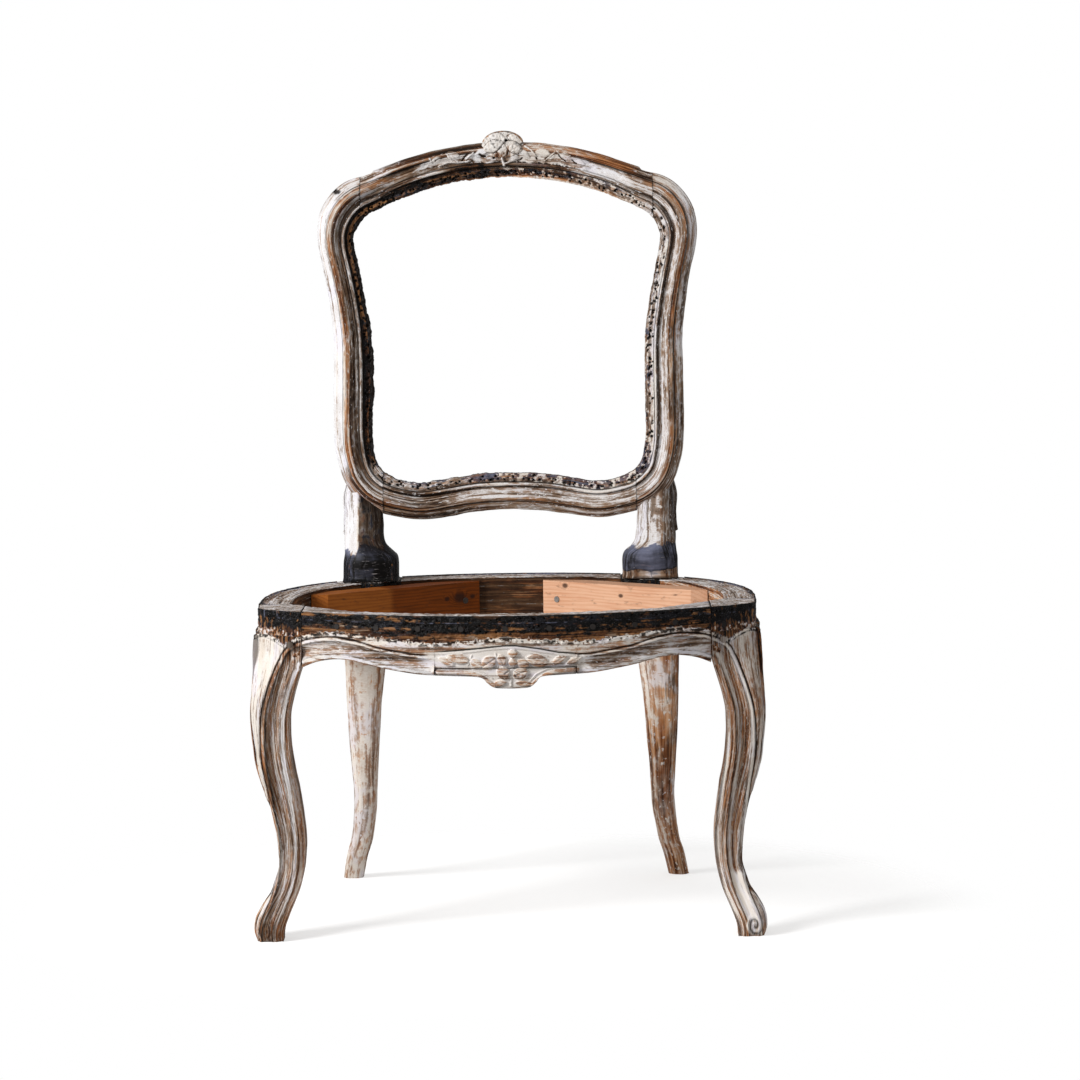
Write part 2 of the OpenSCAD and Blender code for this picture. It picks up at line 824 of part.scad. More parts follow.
// The tacks have square shanks
module tack_shafts(gap) {
    half = tack_w / 2 + gap;
    at_tacks() block([-half, -half, -tack_head_t / 2], [half, half, tack_l + gap]);
}

module tacks() {
    tack_shafts(0);
    at_tacks() translate([0, 0, -tack_head_t]) cylinder(d = tack_head_d, h = tack_head_t);
}

// Nodes

placed() mirror([1, 0, 0]) front_leg();  // front_leg_left
placed() front_leg();  // front_leg_right
placed() mirror([1, 0, 0]) rear_leg();  // rear_leg_left
placed() rear_leg();  // rear_leg_right
placed() front_seat_rail();
placed() apron_pendant();
placed() mirror([1, 0, 0]) side_seat_rail();  // side_seat_rail_left
placed() side_seat_rail();  // side_seat_rail_right
placed() rear_seat_rail();
placed() crest_rail();
placed() lower_back_rail();
placed() mirror([1, 0, 0]) rear_corner_board();  // rear_corner_board_left
placed() rear_corner_board();  // rear_corner_board_right
placed() color(peg_wood) both_sides() front_peg_set(0);  // front_rail_pegs
placed() color(peg_wood) both_sides() { side_front_peg_set(0); side_rear_peg_set(0); }  // side_rail_pegs
placed() color(peg_wood) both_sides() rear_peg_set(0);  // rear_rail_pegs
placed() color(peg_wood) both_sides() back_peg(crest_seam_x, back_joint_z, 0);  // crest_rail_pegs
placed() color(peg_wood) both_sides() back_peg(low_seam_x, low_joint_z, 0);  // lower_back_rail_pegs
placed() color(old_iron) both_sides() board_nails();  // corner_board_nails
placed() color(old_iron) tacks();  // upholstery_tacks
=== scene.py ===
import math

import bpy
import bmesh
import numpy as np
from mathutils import Matrix, Vector


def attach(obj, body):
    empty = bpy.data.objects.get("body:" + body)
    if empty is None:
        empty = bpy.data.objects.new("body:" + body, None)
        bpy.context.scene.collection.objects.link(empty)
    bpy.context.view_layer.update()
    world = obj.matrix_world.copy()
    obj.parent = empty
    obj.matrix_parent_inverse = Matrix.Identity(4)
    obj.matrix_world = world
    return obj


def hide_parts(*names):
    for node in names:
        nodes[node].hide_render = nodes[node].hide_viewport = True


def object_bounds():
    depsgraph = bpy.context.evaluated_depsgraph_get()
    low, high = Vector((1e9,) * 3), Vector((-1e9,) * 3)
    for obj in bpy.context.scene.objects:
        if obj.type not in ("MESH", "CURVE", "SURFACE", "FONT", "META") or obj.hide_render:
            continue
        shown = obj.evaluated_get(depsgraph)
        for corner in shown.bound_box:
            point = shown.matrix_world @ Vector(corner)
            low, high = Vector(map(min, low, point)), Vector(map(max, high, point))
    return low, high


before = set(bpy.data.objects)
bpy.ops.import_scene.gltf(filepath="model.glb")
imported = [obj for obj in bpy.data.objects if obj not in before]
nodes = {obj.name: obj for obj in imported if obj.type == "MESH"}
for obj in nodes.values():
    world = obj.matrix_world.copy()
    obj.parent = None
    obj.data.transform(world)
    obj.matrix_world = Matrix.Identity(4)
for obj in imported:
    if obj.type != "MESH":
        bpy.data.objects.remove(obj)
cad_low, cad_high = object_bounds()

# Sizes repeated from the construction, in metres, measured from the middle of the seat's sides.
# The frame's origin lies MID_Y from there.
MID_Y = -0.03225
SEAT_H = 0.360
HALF_SEAT = 0.275
SIDE_MID_Y = -0.090
REAR_REACH = 0.264
SQUARENESS = 2.25
BOW_R = 0.400
BOW_Y = 0.116
FRONT_RAIL_T = 0.036
SIDE_RAIL_T = 0.038
BAND_T = 0.004
FRONT_SEAM_X = 0.219
HAUNCH_X = 0.166
HAUNCH_OUT_X = 0.182
SIDE_SEAM_Y = -0.1297
POST_INNER_Y = -0.1497
REAR_SEAM_X = 0.127
POST_FRONT_Y = 0.080
POST_OUT_X = 0.200
RAKE = math.radians(10.5)
STILE_FRONT_Y = 0.092
BACK_BOW = 0.018
BOW_REACH = 0.200
CREST_SEAM_X = 0.170
LOW_SEAM_X = 0.146
REAR_LEG_X = 0.170
LEG_CORNER_X = 0.271
LEG_CORNER_Y = -0.2017
GLUE_Z = 0.305
PENDANT_X = 0.076

MM = 0.001
CELLS = 32
rng = np.random.default_rng(1760)
LATTICE = rng.random((CELLS, CELLS, CELLS))


# Smooth fields

def smooth(a, b, x):
    t = np.clip((x - a) / (b - a), 0, 1)
    return t * t * (3 - 2 * t)


def mix(a, b, t):
    return a + (b - a) * t


def hump(x, middle, reach):
    """Smooth hump, 1 at its middle and nearly gone at twice its reach."""
    return np.exp(-((x - middle) / reach) ** 2)


def noise(p, scale, seed=0.0):
    """Smooth noise from 0 to 1 at points p, with so many features per metre along each axis."""
    q = np.asarray(p, float) * np.asarray(scale, float) + np.array([3.1, 7.7, 5.3]) * (seed + 1)
    i = np.floor(q).astype(int)
    f = q - i
    f = f * f * (3 - 2 * f)
    ends = (i % CELLS, 1 - f), ((i + 1) % CELLS, f)
    out = 0
    for a, wa in ends:
        for b, wb in ends:
            for c, wc in ends:
                out = out + wa[..., 0] * wb[..., 1] * wc[..., 2] * LATTICE[a[..., 0], b[..., 1], c[..., 2]]
    return out


def rough_noise(p, scale, seed=0.0, octaves=3):
    total, weight = 0, 0
    for k in range(octaves):
        total = total + noise(p, np.asarray(scale, float) * 2 ** k, seed + 11 * k) * 0.55 ** k
        weight += 0.55 ** k
    return total / weight


def swing(p, scale, seed):
    """Rough noise either side of 0."""
    return rough_noise(p, scale, seed) - 0.5


def spline(points, t, closed=False):
    """Catmull-Rom curve through points at parameters t, counted in points."""
    pts = np.asarray(points, float)
    n = len(pts)
    t = np.asarray(t, float)
    i = np.floor(t).astype(int)
    if closed:
        a, b, c, d = (pts[(i + k) % n] for k in (-1, 0, 1, 2))
    else:
        i = np.clip(i, 0, n - 2)
        a, b, c, d = (pts[np.clip(i + k, 0, n - 1)] for k in (-1, 0, 1, 2))
    f = (t - i)[:, None]
    bend, twist = 2 * a - 5 * b + 4 * c - d, 3 * b - a - 3 * c + d
    return 0.5 * (2 * b + (c - a) * f + bend * f * f + twist * f ** 3)


def travel(points):
    """Distance run to each point of a line."""
    return np.concatenate([[0], np.cumsum(np.linalg.norm(np.diff(points, axis=0), axis=1))])


def even_steps(loop, step, first, last):
    """Parameters that lie step apart along a closed curve, and the distance run to each."""
    t = np.linspace(first, last, 4000)
    run = travel(spline(loop, t, closed=True)[:, :2])
    even = np.linspace(0, run[-1], max(4, int(run[-1] / step)))
    return np.interp(even, run, t), even


# Meshes

def tube_faces(m, n):
    """Faces of m rings of n points, capped at both ends."""
    i, k = np.meshgrid(np.arange(m - 1), np.arange(n), indexing="ij")
    a, b = i * n + k, i * n + (k + 1) % n
    quads = np.stack([a, b, b + n, a + n], -1).reshape(-1, 4).tolist()
    return quads + [list(range(n - 1, -1, -1)), list(range((m - 1) * n, m * n))]


def outward(points, faces):
    """Faces turned so that the closed shell has a positive volume."""
    p = np.asarray(points).reshape(-1, 3)
    quads = np.array([f[:3] for f in faces if len(f) == 4])
    a, b, c = (p[quads[:, k]] for k in range(3))
    total = (np.cross(b - a, c - a) * (a - p.mean(0))).sum()
    return faces if total > 0 else [f[::-1] for f in faces]


def closed_shell(rings, grain, zones):
    """Points, outward faces, grain and zones of a capped tube of rings."""
    faces = outward(rings, tube_faces(*rings.shape[:2]))
    return rings.reshape(-1, 3), faces, grain.reshape(-1, 3), zones.reshape(-1, 4)


def along_normals(points, depth):
    """Points of a closed-around grid moved in by depth along the grid's own normals."""
    du = np.gradient(points, axis=0)
    dv = np.roll(points, -1, 1) - np.roll(points, 1, 1)
    n = np.cross(du, dv)
    n /= np.maximum(np.linalg.norm(n, axis=-1, keepdims=True), 1e-12)
    centre = points.mean(1, keepdims=True)
    sign = np.sign((n * (points - centre)).sum(-1).mean())
    return points - n * sign * depth[..., None]


# Surfaces of the back

def back_y(x, z):
    return STILE_FRONT_Y + (z - SEAT_H) * math.tan(RAKE) + BACK_BOW * (1 - (x / BOW_REACH) ** 2)


def rim_y(x, inset=0.0):
    across = np.abs(x) / (HALF_SEAT - inset)
    return SIDE_MID_Y + (REAR_REACH - inset) * (1 - across ** SQUARENESS) ** (1 / SQUARENESS)


def bow_y(x, inset=0.0):
    return BOW_Y - np.sqrt((BOW_R - inset) ** 2 - x * x)


INNER_EDGE = np.array([
    [0, 820, 41], [53, 816, 41], [100, 805, 41.5], [147, 786, 44], [165, 776, 47], [175, 762, 46],
    [178, 745, 41], [171, 710, 40.5], [164, 673, 41.5], [159, 635, 43], [158, 585, 44], [158, 524, 44],
    [154, 497, 43], [148, 485, 43], [137, 477, 43], [118, 471, 42], [99, 469, 42], [71, 473, 42],
    [39, 477.5, 42], [0, 479, 42]]) * MM
EDGE_LOOP = np.concatenate([INNER_EDGE, INNER_EDGE[-2:0:-1] * [-1, 1, 1]])

# Width of the back's moulding in millimetres, as its tables have it
FACE_W = 43

# Depth of the moulding against the distance out from the inner edge, in millimetres
STILE_FACE = np.array([
    [0, 7.3], [4, 7], [9.3, 6.9], [9.9, 4.6], [10.5, 2.9], [11.3, 2], [12.6, 1.6], [13.9, 2.1], [14.9, 4.2],
    [16.2, 6], [18.2, 6.2], [19.8, 4.6], [21.5, 2.7], [24, 0.9], [26.6, 0.05], [29.2, 0], [30.8, 0.6],
    [32, 1.9], [32.8, 3.7], [34.5, 5.6], [37.5, 7.8], [40.5, 10.2], [43, 13]])
CREST_FACE = np.array([
    [0, 7.3], [5, 7], [12.6, 6.9], [13.3, 4.8], [14, 3], [15, 2], [16.4, 1.7], [17.8, 2.3], [18.8, 4.4],
    [20.2, 6], [23, 6.6], [26.5, 6.2], [29.3, 4.6], [30.8, 2.4], [31.8, 0.8], [33.4, 0.1], [35.6, 0],
    [37.8, 0.5], [39.5, 1.8], [41, 4.2], [42.2, 7.5], [42.7, 10], [43, 13]])


def face_rows():
    """Places across the moulded face, closer together where it is steep."""
    return np.concatenate([np.linspace(0, 9, 12), np.linspace(9.3, 20, 17), np.linspace(20.6, 34, 20),
                           np.linspace(34.7, FACE_W, 10)])


def holes_mask(u, v, centres, radii):
    """How far each place lies inside a round hole, from 0 to 1."""
    mask = np.zeros(u.shape)
    for (cu, cv), r in zip(centres, radii):
        near = (np.abs(u - cu) < 2 * r) & (np.abs(v - cv) < 2 * r)
        if near.any():
            d = np.hypot(u[near] - cu, v[near] - cv)
            mask[near] = np.maximum(mask[near], 1 - smooth(0.55 * r, 1.15 * r, d))
    return mask


def raised_leaf(u, v, place, half_length, half_width, angle, height, veins=0.0):
    """Height of a raised leaf or petal round its place, pointed as half_width narrows, in millimetres."""
    c, s = math.cos(math.radians(angle)), math.sin(math.radians(angle))
    a = ((u - place[0]) * c + (v - place[1]) * s) / half_length
    b = (-(u - place[0]) * s + (v - place[1]) * c) / half_width
    r = np.sqrt(a * a + (b / np.sqrt(np.clip(1.02 - a * a, 0.05, 1))) ** 2 * 0.8 + 0.2 * b * b)
    h = height * (1 - smooth(0.72, 1.05, r)) * (0.72 + 0.28 * (1 - np.clip(r, 0, 1) ** 2))
    if veins:
        h = h - veins * hump(b, 0, 0.13) * (r < 0.9)
        ribs = np.cos((a * half_length - 0.8 * np.abs(b) * half_width) * 3.4)
        h = h - 0.45 * veins * (0.5 + 0.5 * ribs) * (r < 0.85)
    return np.where(r < 1.05, np.maximum(h, 0), 0)


def raised_line(u, v, points, half_width, height):
    """Height of a raised line through points, in millimetres."""
    near = np.full(np.shape(u), 1e9)
    for (ax, az), (bx, bz) in zip(points[:-1], points[1:]):
        length = (bx - ax) ** 2 + (bz - az) ** 2
        t = np.clip(((u - ax) * (bx - ax) + (v - az) * (bz - az)) / length, 0, 1)
        near = np.minimum(near, np.hypot(u - ax - t * (bx - ax), v - az - t * (bz - az)))
    return height * np.sqrt(np.clip(1 - (near / half_width) ** 2, 0, 1))


# Leaves beside the crest's flower: place, half length, half width, angle, height and depth of the veins
CREST_LEAVES = [
    ((-60, 843.5), 11, 6.5, -42, 4.9, 0.6), ((-81, 839.5), 8, 4.4, 20, 4.0, 0.4),
    ((-43, 842.5), 8, 3.8, 43, 4.8, 0.4), ((-29, 848), 10, 5, 30, 5.3, 0.6),
    ((-19, 840.5), 11, 4.4, 8, 5.0, 0.5), ((8, 845), 9, 5, -25, 5.5, 0.5),
    ((21, 845.5), 10, 5.4, -35, 5.7, 0.6), ((43.5, 847), 10, 5.4, -15, 5.3, 0.6),
    ((52, 841.5), 8, 3.4, 40, 4.7, 0.4), ((70, 842), 9, 4.8, -30, 4.5, 0.5),
    ((86, 835.5), 8, 3.8, -25, 3.8, 0.4), ((31, 839), 9, 3, 10, 4.7, 0.3)]
# Its stems and ribs: points, half width and height. Then the cuts between them: points and half width
CREST_LINES = [
    ([(-69.6, 848.3), (-66, 843), (-62.4, 840.3)], 0.9, 5.9),
    ([(-65.5, 848.2), (-61, 842.5), (-55.8, 838.8)], 0.9, 5.9),
    ([(-78.3, 833.9), (-67.6, 837.7), (-49, 838.2)], 1.0, 5.2), ([(-88.8, 843.3), (-86.2, 836.6)], 0.8, 4.4),
    ([(-47.7, 840.1), (-37.7, 849.2)], 0.9, 6.0), ([(-6.4, 852.8), (-4.8, 842), (-2.5, 834.1)], 1.5, 7.2),
    ([(-2.5, 835.4), (4.2, 838), (9.4, 839.3)], 1.0, 5.8), ([(56, 839.9), (64, 837.2)], 0.9, 5.2),
    ([(22.3, 855.8), (29.2, 851.1), (35, 844.1)], 0.9, 6.2), ([(45.4, 838.7), (57, 848.2)], 0.9, 5.8),
    ([(59.5, 848.9), (70.6, 838.9)], 0.9, 5.2)]
CREST_CUTS = [
    ([(-50.5, 841), (-47, 845.5), (-41, 849.8)], 1.1),
    ([(24, 855), (30, 850.5), (34.5, 845), (36, 840.5)], 1.0),
    ([(46, 840.5), (51, 844), (58, 847)], 1.1), ([(60.5, 846), (64, 841.5), (69.5, 837.5)], 0.8),
    ([(77, 839), (79.5, 836), (82, 834.8)], 0.8), ([(-30.5, 847), (-28, 845), (-24.5, 844.6)], 1.6),
    ([(-82.5, 840), (-78, 842.6), (-74.5, 842.8)], 0.8), ([(-14, 842.5), (-12, 846.5), (-8.5, 849)], 1.6),
    ([(0, 845), (2.6, 847), (3.8, 850.5)], 1.6), ([(13, 839), (16.5, 840), (19, 842)], 1.0)]


def crest_relief(x, z):
    """Height of the crest's carving in millimetres, and how far each place lies in one of its cuts."""
    u, v = x * 1000, z * 1000
    h, cut = np.zeros(np.shape(u)), np.zeros(np.shape(u))
    for leaf in CREST_LEAVES:
        h = np.maximum(h, raised_leaf(u, v, *leaf))
    for points, half_width in CREST_CUTS:
        cut = np.maximum(cut, raised_line(u, v, points, half_width, 1.0))
    h = h - 1.9 * cut
    for points, half_width, height in CREST_LINES:
        line = raised_line(u, v, points, half_width, height)
        h = np.maximum(h, line)
        cut = np.where(line > 0, 0, cut)
    return h, cut


# Finish across the back's face: place, tar, paint, bare wood, and dirt with painted shade
# Left and right differ partly as painted light and shade: bands turned to the window on the left carry more
# paint, bands turned away more tar and dark
LEFT_STILE = np.array([
    [0, 1, 0, 0, 0.8], [2.8, 1, 0, 0.1, 0.6], [4, 0.8, 0.05, 0.7, 0.25], [6.5, 0.74, 0.08, 0.7, 0.2],
    [9.5, 0.95, 0.05, 0.2, 0.4], [10.4, 0.05, 0.52, 0.4, 0], [12.6, 0.05, 0.52, 0.4, 0],
    [13.6, 0.05, 0.25, 0.3, 0.4], [15, 0.06, 0.16, 0.3, 0.34], [22, 0.03, 0.38, 0.35, 0.12],
    [24.5, 0.02, 0.34, 0.6, 0.06], [26, 0, 0.36, 0.95, 0], [30.4, 0, 0.34, 1, 0], [31.8, 0, 0.8, 0.8, 0.1],
    [33, 0, 0.98, 0.4, 0], [38, 0, 1, 0.3, 0], [39.4, 0, 0.6, 0.8, 0], [40.4, 0, 0.92, 0.4, 0.1],
    [43, 0, 0.92, 0.3, 0.2]])
RIGHT_STILE = np.array([
    [0, 0.4, 0.34, 0.45, 0.05], [5, 0.38, 0.4, 0.45, 0.1], [7, 0.16, 0.66, 0.6, 0.05],
    [9.6, 0.16, 0.64, 0.7, 0.05], [11.5, 0, 0.66, 0.7, 0], [12.6, 0, 0.3, 0.2, 0.5], [14, 0, 0.34, 0.2, 0.3],
    [15.5, 0, 0.46, 0.25, 0.05], [17, 0, 0.54, 0.4, 0.03], [25, 0, 0.46, 0.4, 0.05],
    [26.4, 0, 0.24, 0.6, 0.28], [29.5, 0, 0.1, 0.85, 0.22], [31, 0, 0.16, 0.65, 0.14],
    [34, 0, 0.26, 0.6, 0.08], [36, 0, 0.46, 0.35, 0.03], [43, 0, 0.46, 0.3, 0.05]])
LOW_RAIL = np.array([
    [0, 0.5, 0.34, 0.5, 0.15], [4, 0.48, 0.44, 0.6, 0.1], [9.6, 0.42, 0.42, 0.5, 0.2],
    [10.6, 0, 0.5, 0.5, 0], [13, 0, 0.5, 0.5, 0], [14.5, 0, 0.22, 0.4, 0.3], [17, 0, 0.36, 0.4, 0.1],
    [22, 0, 0.5, 0.4, 0], [27, 0, 0.48, 0.4, 0.05], [29, 0, 0.26, 0.6, 0.15], [32, 0, 0.24, 0.7, 0.15],
    [36, 0, 0.4, 0.5, 0.05], [43, 0, 0.38, 0.5, 0.1]])
CREST_LEFT = np.array([
    [0, 0.3, 0.16, 0.8, 0.2], [2.5, 0.66, 0.05, 0.5, 0.4], [5, 0.95, 0.02, 0.3, 0.45],
    [12.8, 0.88, 0.06, 0.4, 0.4], [14, 0.05, 0.4, 0.6, 0.1], [17.4, 0.05, 0.44, 0.5, 0.1],
    [19, 0.05, 0.18, 0.5, 0.3], [25, 0, 0.27, 0.6, 0.15], [30, 0.05, 0.22, 0.5, 0.3],
    [33, 0, 0.16, 0.7, 0.25], [35.4, 0, 0.56, 0.9, 0.1], [36.6, 0, 0.2, 0.7, 0.2], [43, 0, 0.26, 0.5, 0.25]])
CREST_RIGHT = np.array([
    [0, 0.14, 0.3, 0.9, 0.05], [3, 0.4, 0.2, 0.8, 0.15], [6, 0.66, 0.16, 0.5, 0.2],
    [12.8, 0.58, 0.3, 0.5, 0.2], [14, 0, 0.62, 0.5, 0.05], [17.4, 0, 0.7, 0.5, 0], [19, 0, 0.66, 0.4, 0.05],
    [25, 0, 1, 0.5, 0], [30, 0, 0.66, 0.5, 0.05], [33, 0, 0.2, 0.9, 0.1], [37, 0, 0.24, 1, 0],
    [43, 0, 0.26, 0.9, 0.1]])


def across(table, o):
    """Finishes of a table at the places o across the face."""
    return np.stack([np.interp(o, table[:, 0], table[:, k]) for k in (1, 2, 3, 4)], -1)[None]


# Turn of the back's outline over the outer edge, across the back and down the opening: place and depth
BACK_REST = np.array([
    [43, 17], [43, 21], [42.3, 24.6], [40.5, 26.4], [37, 27.6], [30, 28], [22, 28], [14, 28], [7, 28],
    [4, 27.5], [1.6, 25.8], [0.4, 23], [0, 19], [0, 15], [0, 11]])


def back_member(first, last, seed, cuts, side=0, relief=None):
    """Stretch of the moulded back between two places along its inner edge, cut at its seams.

    side is 1 or -1 for a stile that will stand on the right or left, 0 for a rail across the middle.
    """
    t, run = even_steps(EDGE_LOOP, 0.00125 if relief is None else 0.0009, first, last)
    p = spline(EDGE_LOOP, t, closed=True)
    d = spline(EDGE_LOOP, t + 0.02, closed=True) - spline(EDGE_LOOP, t - 0.02, closed=True)
    d = d[:, :2] / np.linalg.norm(d[:, :2], axis=1, keepdims=True)
    out_x, out_z = -d[:, 1:2], d[:, :1]
    px, pz = p[:, :1], p[:, 1:2]
    o = face_rows()
    crest = smooth(0.765, 0.80, pz) * (1 - smooth(0.118, 0.152, np.abs(px)))
    low = smooth(0.505, 0.485, pz)
    left = smooth(-0.03, 0.03, -px) if side == 0 else np.full_like(px, float(side < 0))
    depth = mix(np.interp(o, *STILE_FACE.T)[None], np.interp(o, *CREST_FACE.T)[None], crest)
    edge_out = mix(10.0, 13.4, crest)
    s = np.repeat(run[:, None], len(o), 1)
    oo = np.repeat(o[None], len(t), 0)
    spot = np.stack([s, oo * MM, np.full_like(s, seed)], -1)

    # Old tack holes in the rebate, in loose rows, and its eaten surface
    count = int(run[-1] / 0.0030)
    place = rng.random(count) * run[-1]
    row = rng.choice([2.8, 5.4, 7.6], count, p=[0.22, 0.5, 0.28]) + rng.normal(0, 0.7, count)
    pits = holes_mask(s * 1000, oo, np.stack([place * 1000, row], 1), rng.uniform(0.7, 1.7, count))
    pits = pits * (oo < edge_out - 0.5)
    ragged = rough_noise(spot, (300, 420, 1), 5)
    depth = depth + pits * 2.8 + (oo < edge_out) * (ragged - 0.45) * mix(2.2, 3.6, left)

    # Grooves along the grain, dents and worn corners
    fibre = noise(spot, (45, 1300, 1), 2) - 0.5
    waves = swing(spot, (34, 150, 1), 8)
    dents = smooth(0.66, 0.80, rough_noise(spot, (90, 260, 1), 12))
    depth = depth + smooth(edge_out, edge_out + 1.5, oo) * (0.5 * fibre + 1.4 * waves + 0.7 * dents)

    # A splinter stands up from the left stile's inner edge
    splinter = np.zeros_like(px)
    if side < 0:
        splinter = smooth(0.555, 0.575, pz) * (1 - smooth(0.6635, 0.6665, pz))
        splinter = splinter * mix(2.6, 1.2, smooth(0.60, 0.665, pz))
        splinter = splinter * (0.75 + 0.5 * noise(spot[:, :1], (160, 1, 1), 3))

    # The crest's outer ridge ends in a small step at each shoulder
    step = smooth(0.137, 0.141, np.abs(px)) * smooth(0.775, 0.79, pz)
    drop = step * 2.2 * smooth(33, 36, oo) * (1 - smooth(0.150, 0.172, np.abs(px)))

    # Both edges waver along the run
    w = p[:, 2:3] / (FACE_W * MM)
    along = np.stack([run, 0 * run, 0 * run + seed], -1)
    wobble = swing(along, (30, 1, 1), 51)[:, None]
    inner_wobble = -1.6 * wobble - swing(along, (190, 1, 1), 57)[:, None] * mix(1.6, 3.6, left)
    reach = np.minimum(oo, FACE_W - drop) * w - splinter * (1 - o / 9.0).clip(0, 1)[None]
    reach = (reach + 2.4 * wobble * smooth(34, 43, oo) + inner_wobble * smooth(3.5, 0, oo)) * MM
    x, z = px + reach * out_x, pz + reach * out_z
    height, cut, chip = np.zeros((3,) + depth.shape)
    if relief is not None:
        height, cut = relief(x, z)
        rise = mix(18.6, 23.0, smooth(-0.028, -0.044, x))
        ground = smooth(rise, rise + 2.2, oo + 5 * (ragged - 0.5)) * (1 - smooth(30.4, 31.6, oo))
        ground = ground * smooth(0.112, 0.078, np.abs(x + 0.003) + 0.02 * (ragged - 0.5))
        height = np.maximum(height, (3.3 - 1.8 * cut) * ground)
        depth = mix(depth, np.minimum(depth, 7.0) - height, smooth(0.05, 0.8, height))
        depth = np.maximum(depth, -1.0)
    carved = smooth(0.2, 1.2, height)
    if side < 0:
        chip = 1 - smooth(0.0025, 0.0045, np.hypot((x - 0.2015) * 0.8, z - 0.8085))
        chip = np.maximum(chip, 1 - smooth(0.0015, 0.0035, np.hypot((x - 0.1965) * 0.6, z - 0.8055)))
    depth = depth + 6.0 * chip
    face = np.stack([x, back_y(x, z) + depth * MM, z], -1)

    # Outer side, back and inner side
    ro, rd = BACK_REST.T[:, None]
    reach = np.minimum(ro, FACE_W - drop[:, -1:]) * w + 2.4 * wobble * (ro > 40) + inner_wobble * (ro < 1)
    reach = reach * MM - splinter * (ro < 1) * smooth(20, 10, rd) * MM
    rx, rz = px + reach * out_x, pz + reach * out_z
    around = np.stack([rx, back_y(rx, rz) + rd * MM, rz], -1)
    girth = (FACE_W + travel(BACK_REST)) * MM
    rest_spot = np.stack([run[:, None] + 0 * reach, 0 * reach + girth, 0 * reach + seed], -1)
    around[..., 1] += (rough_noise(rest_spot, (60, 300, 1), 21) - 0.7) * 0.0008 * (rd > 23)

    # Where each finish lies across the face: tar, paint, bare wood and dark places
    big = swing(spot, (16, 40, 1), 31)
    fine = swing(spot, (70, 260, 1), 37)
    inner = 1 - smooth(edge_out - 0.6, edge_out + 0.4, oo)
    sides, high = left[..., None], crest[..., None]
    finish = mix(across(RIGHT_STILE, o), across(LEFT_STILE, o), sides)
    finish = mix(finish, across(LOW_RAIL, o), low[..., None])
    finish = mix(finish, mix(across(CREST_RIGHT, o), across(CREST_LEFT, o), sides), high)
    shoulder = smooth(0.765, 0.785, pz) * (1 - crest) * smooth(20, 26, oo)
    finish = mix(finish, np.array([0.04, 0.40, 0.65, 0.12]), 0.75 * shoulder[..., None])
    # Under the crest's carving the bead has kept its tar
    under = crest * smooth(0.085, 0.060, np.abs(px)) * (oo < 20) * smooth(9, 12, oo)
    finish = mix(finish, np.array([0.55, 0.10, 0.6, 0.35]), under[..., None])
    tar, paint, wood, dark = np.moveaxis(finish, -1, 0)
    crumbs = smooth(0.56, 0.64, rough_noise(spot, (300, 330, 1), 61)) * inner
    tar = (tar + inner * (0.6 * big - mix(0.55, 0.15, left) * crumbs)) * (1 - carved)
    paint = paint + 0.80 * big * (1 - inner) + 0.35 * fine + crumbs * mix(0.42, 0.05, left)
    # On the carving, painted shade in its cuts and lower places: less paint and more dark there
    carved_paint = 0.80 + 0.4 * smooth(4.0, 5.4, height) - 0.70 * cut + 1.2 * fine + 0.5 * big
    paint = mix(paint, carved_paint, carved)
    wood = mix(wood, 0.62, carved) + 0.7 * big + mix(0.5, 0.1, left) * crumbs
    # Painted shade, with dirt, along the moulding's grooves and in the tack holes
    dark = dark + 0.75 * hump(oo, mix(10.0, 13.6, crest), 0.75) + 0.55 * hump(oo, mix(15.0, 18.6, crest), 0.7)
    dark = dark + 0.70 * hump(oo, mix(32.4, 31.2, crest), mix(0.6, 0.9, crest))
    dark = dark + 1.2 * smooth(0.15, 0.5, pits)
    carved_dark = 0.10 + 0.10 * smooth(3.6, 2.6, height) + 0.42 * smooth(0.3, 0.9, cut) + 0.35 * fine
    dark = mix(dark, carved_dark, carved) + 0.9 * chip
    face_zones = np.stack([tar, paint, wood, dark], -1)

    # And round the rest of the section
    back = (rd > 25.5) + 0 * px
    side_face = (ro > 30) * (1 - back)
    inside = (ro < 2) * (1 - back)
    # Painted light and shade round the sides: the left outer side, turned to the window, gets far more paint
    # than the right, and the left inner side, turned away, more tar
    side_paint_and_light = mix(mix(0.34, 1.0 - 0.6 * smooth(0.775, 0.79, pz), left), 0.3, crest)
    paint = (side_face * side_paint_and_light + back * 0.24) * (1 - inside)
    dark = 0.06 + 0.2 * back + inside * 0.1 + 0.12 * side_face * left
    rest_zones = np.stack([0.04 + inside * mix(0.45, 0.9, left), paint, 0.35 + 0.4 * back * crest, dark], -1)
    shell = closed_shell(np.concatenate([face, around], 1), np.concatenate([spot, rest_spot], 1),
                         np.concatenate([face_zones, rest_zones], 1))
    return cut_seams(*shell, cuts)


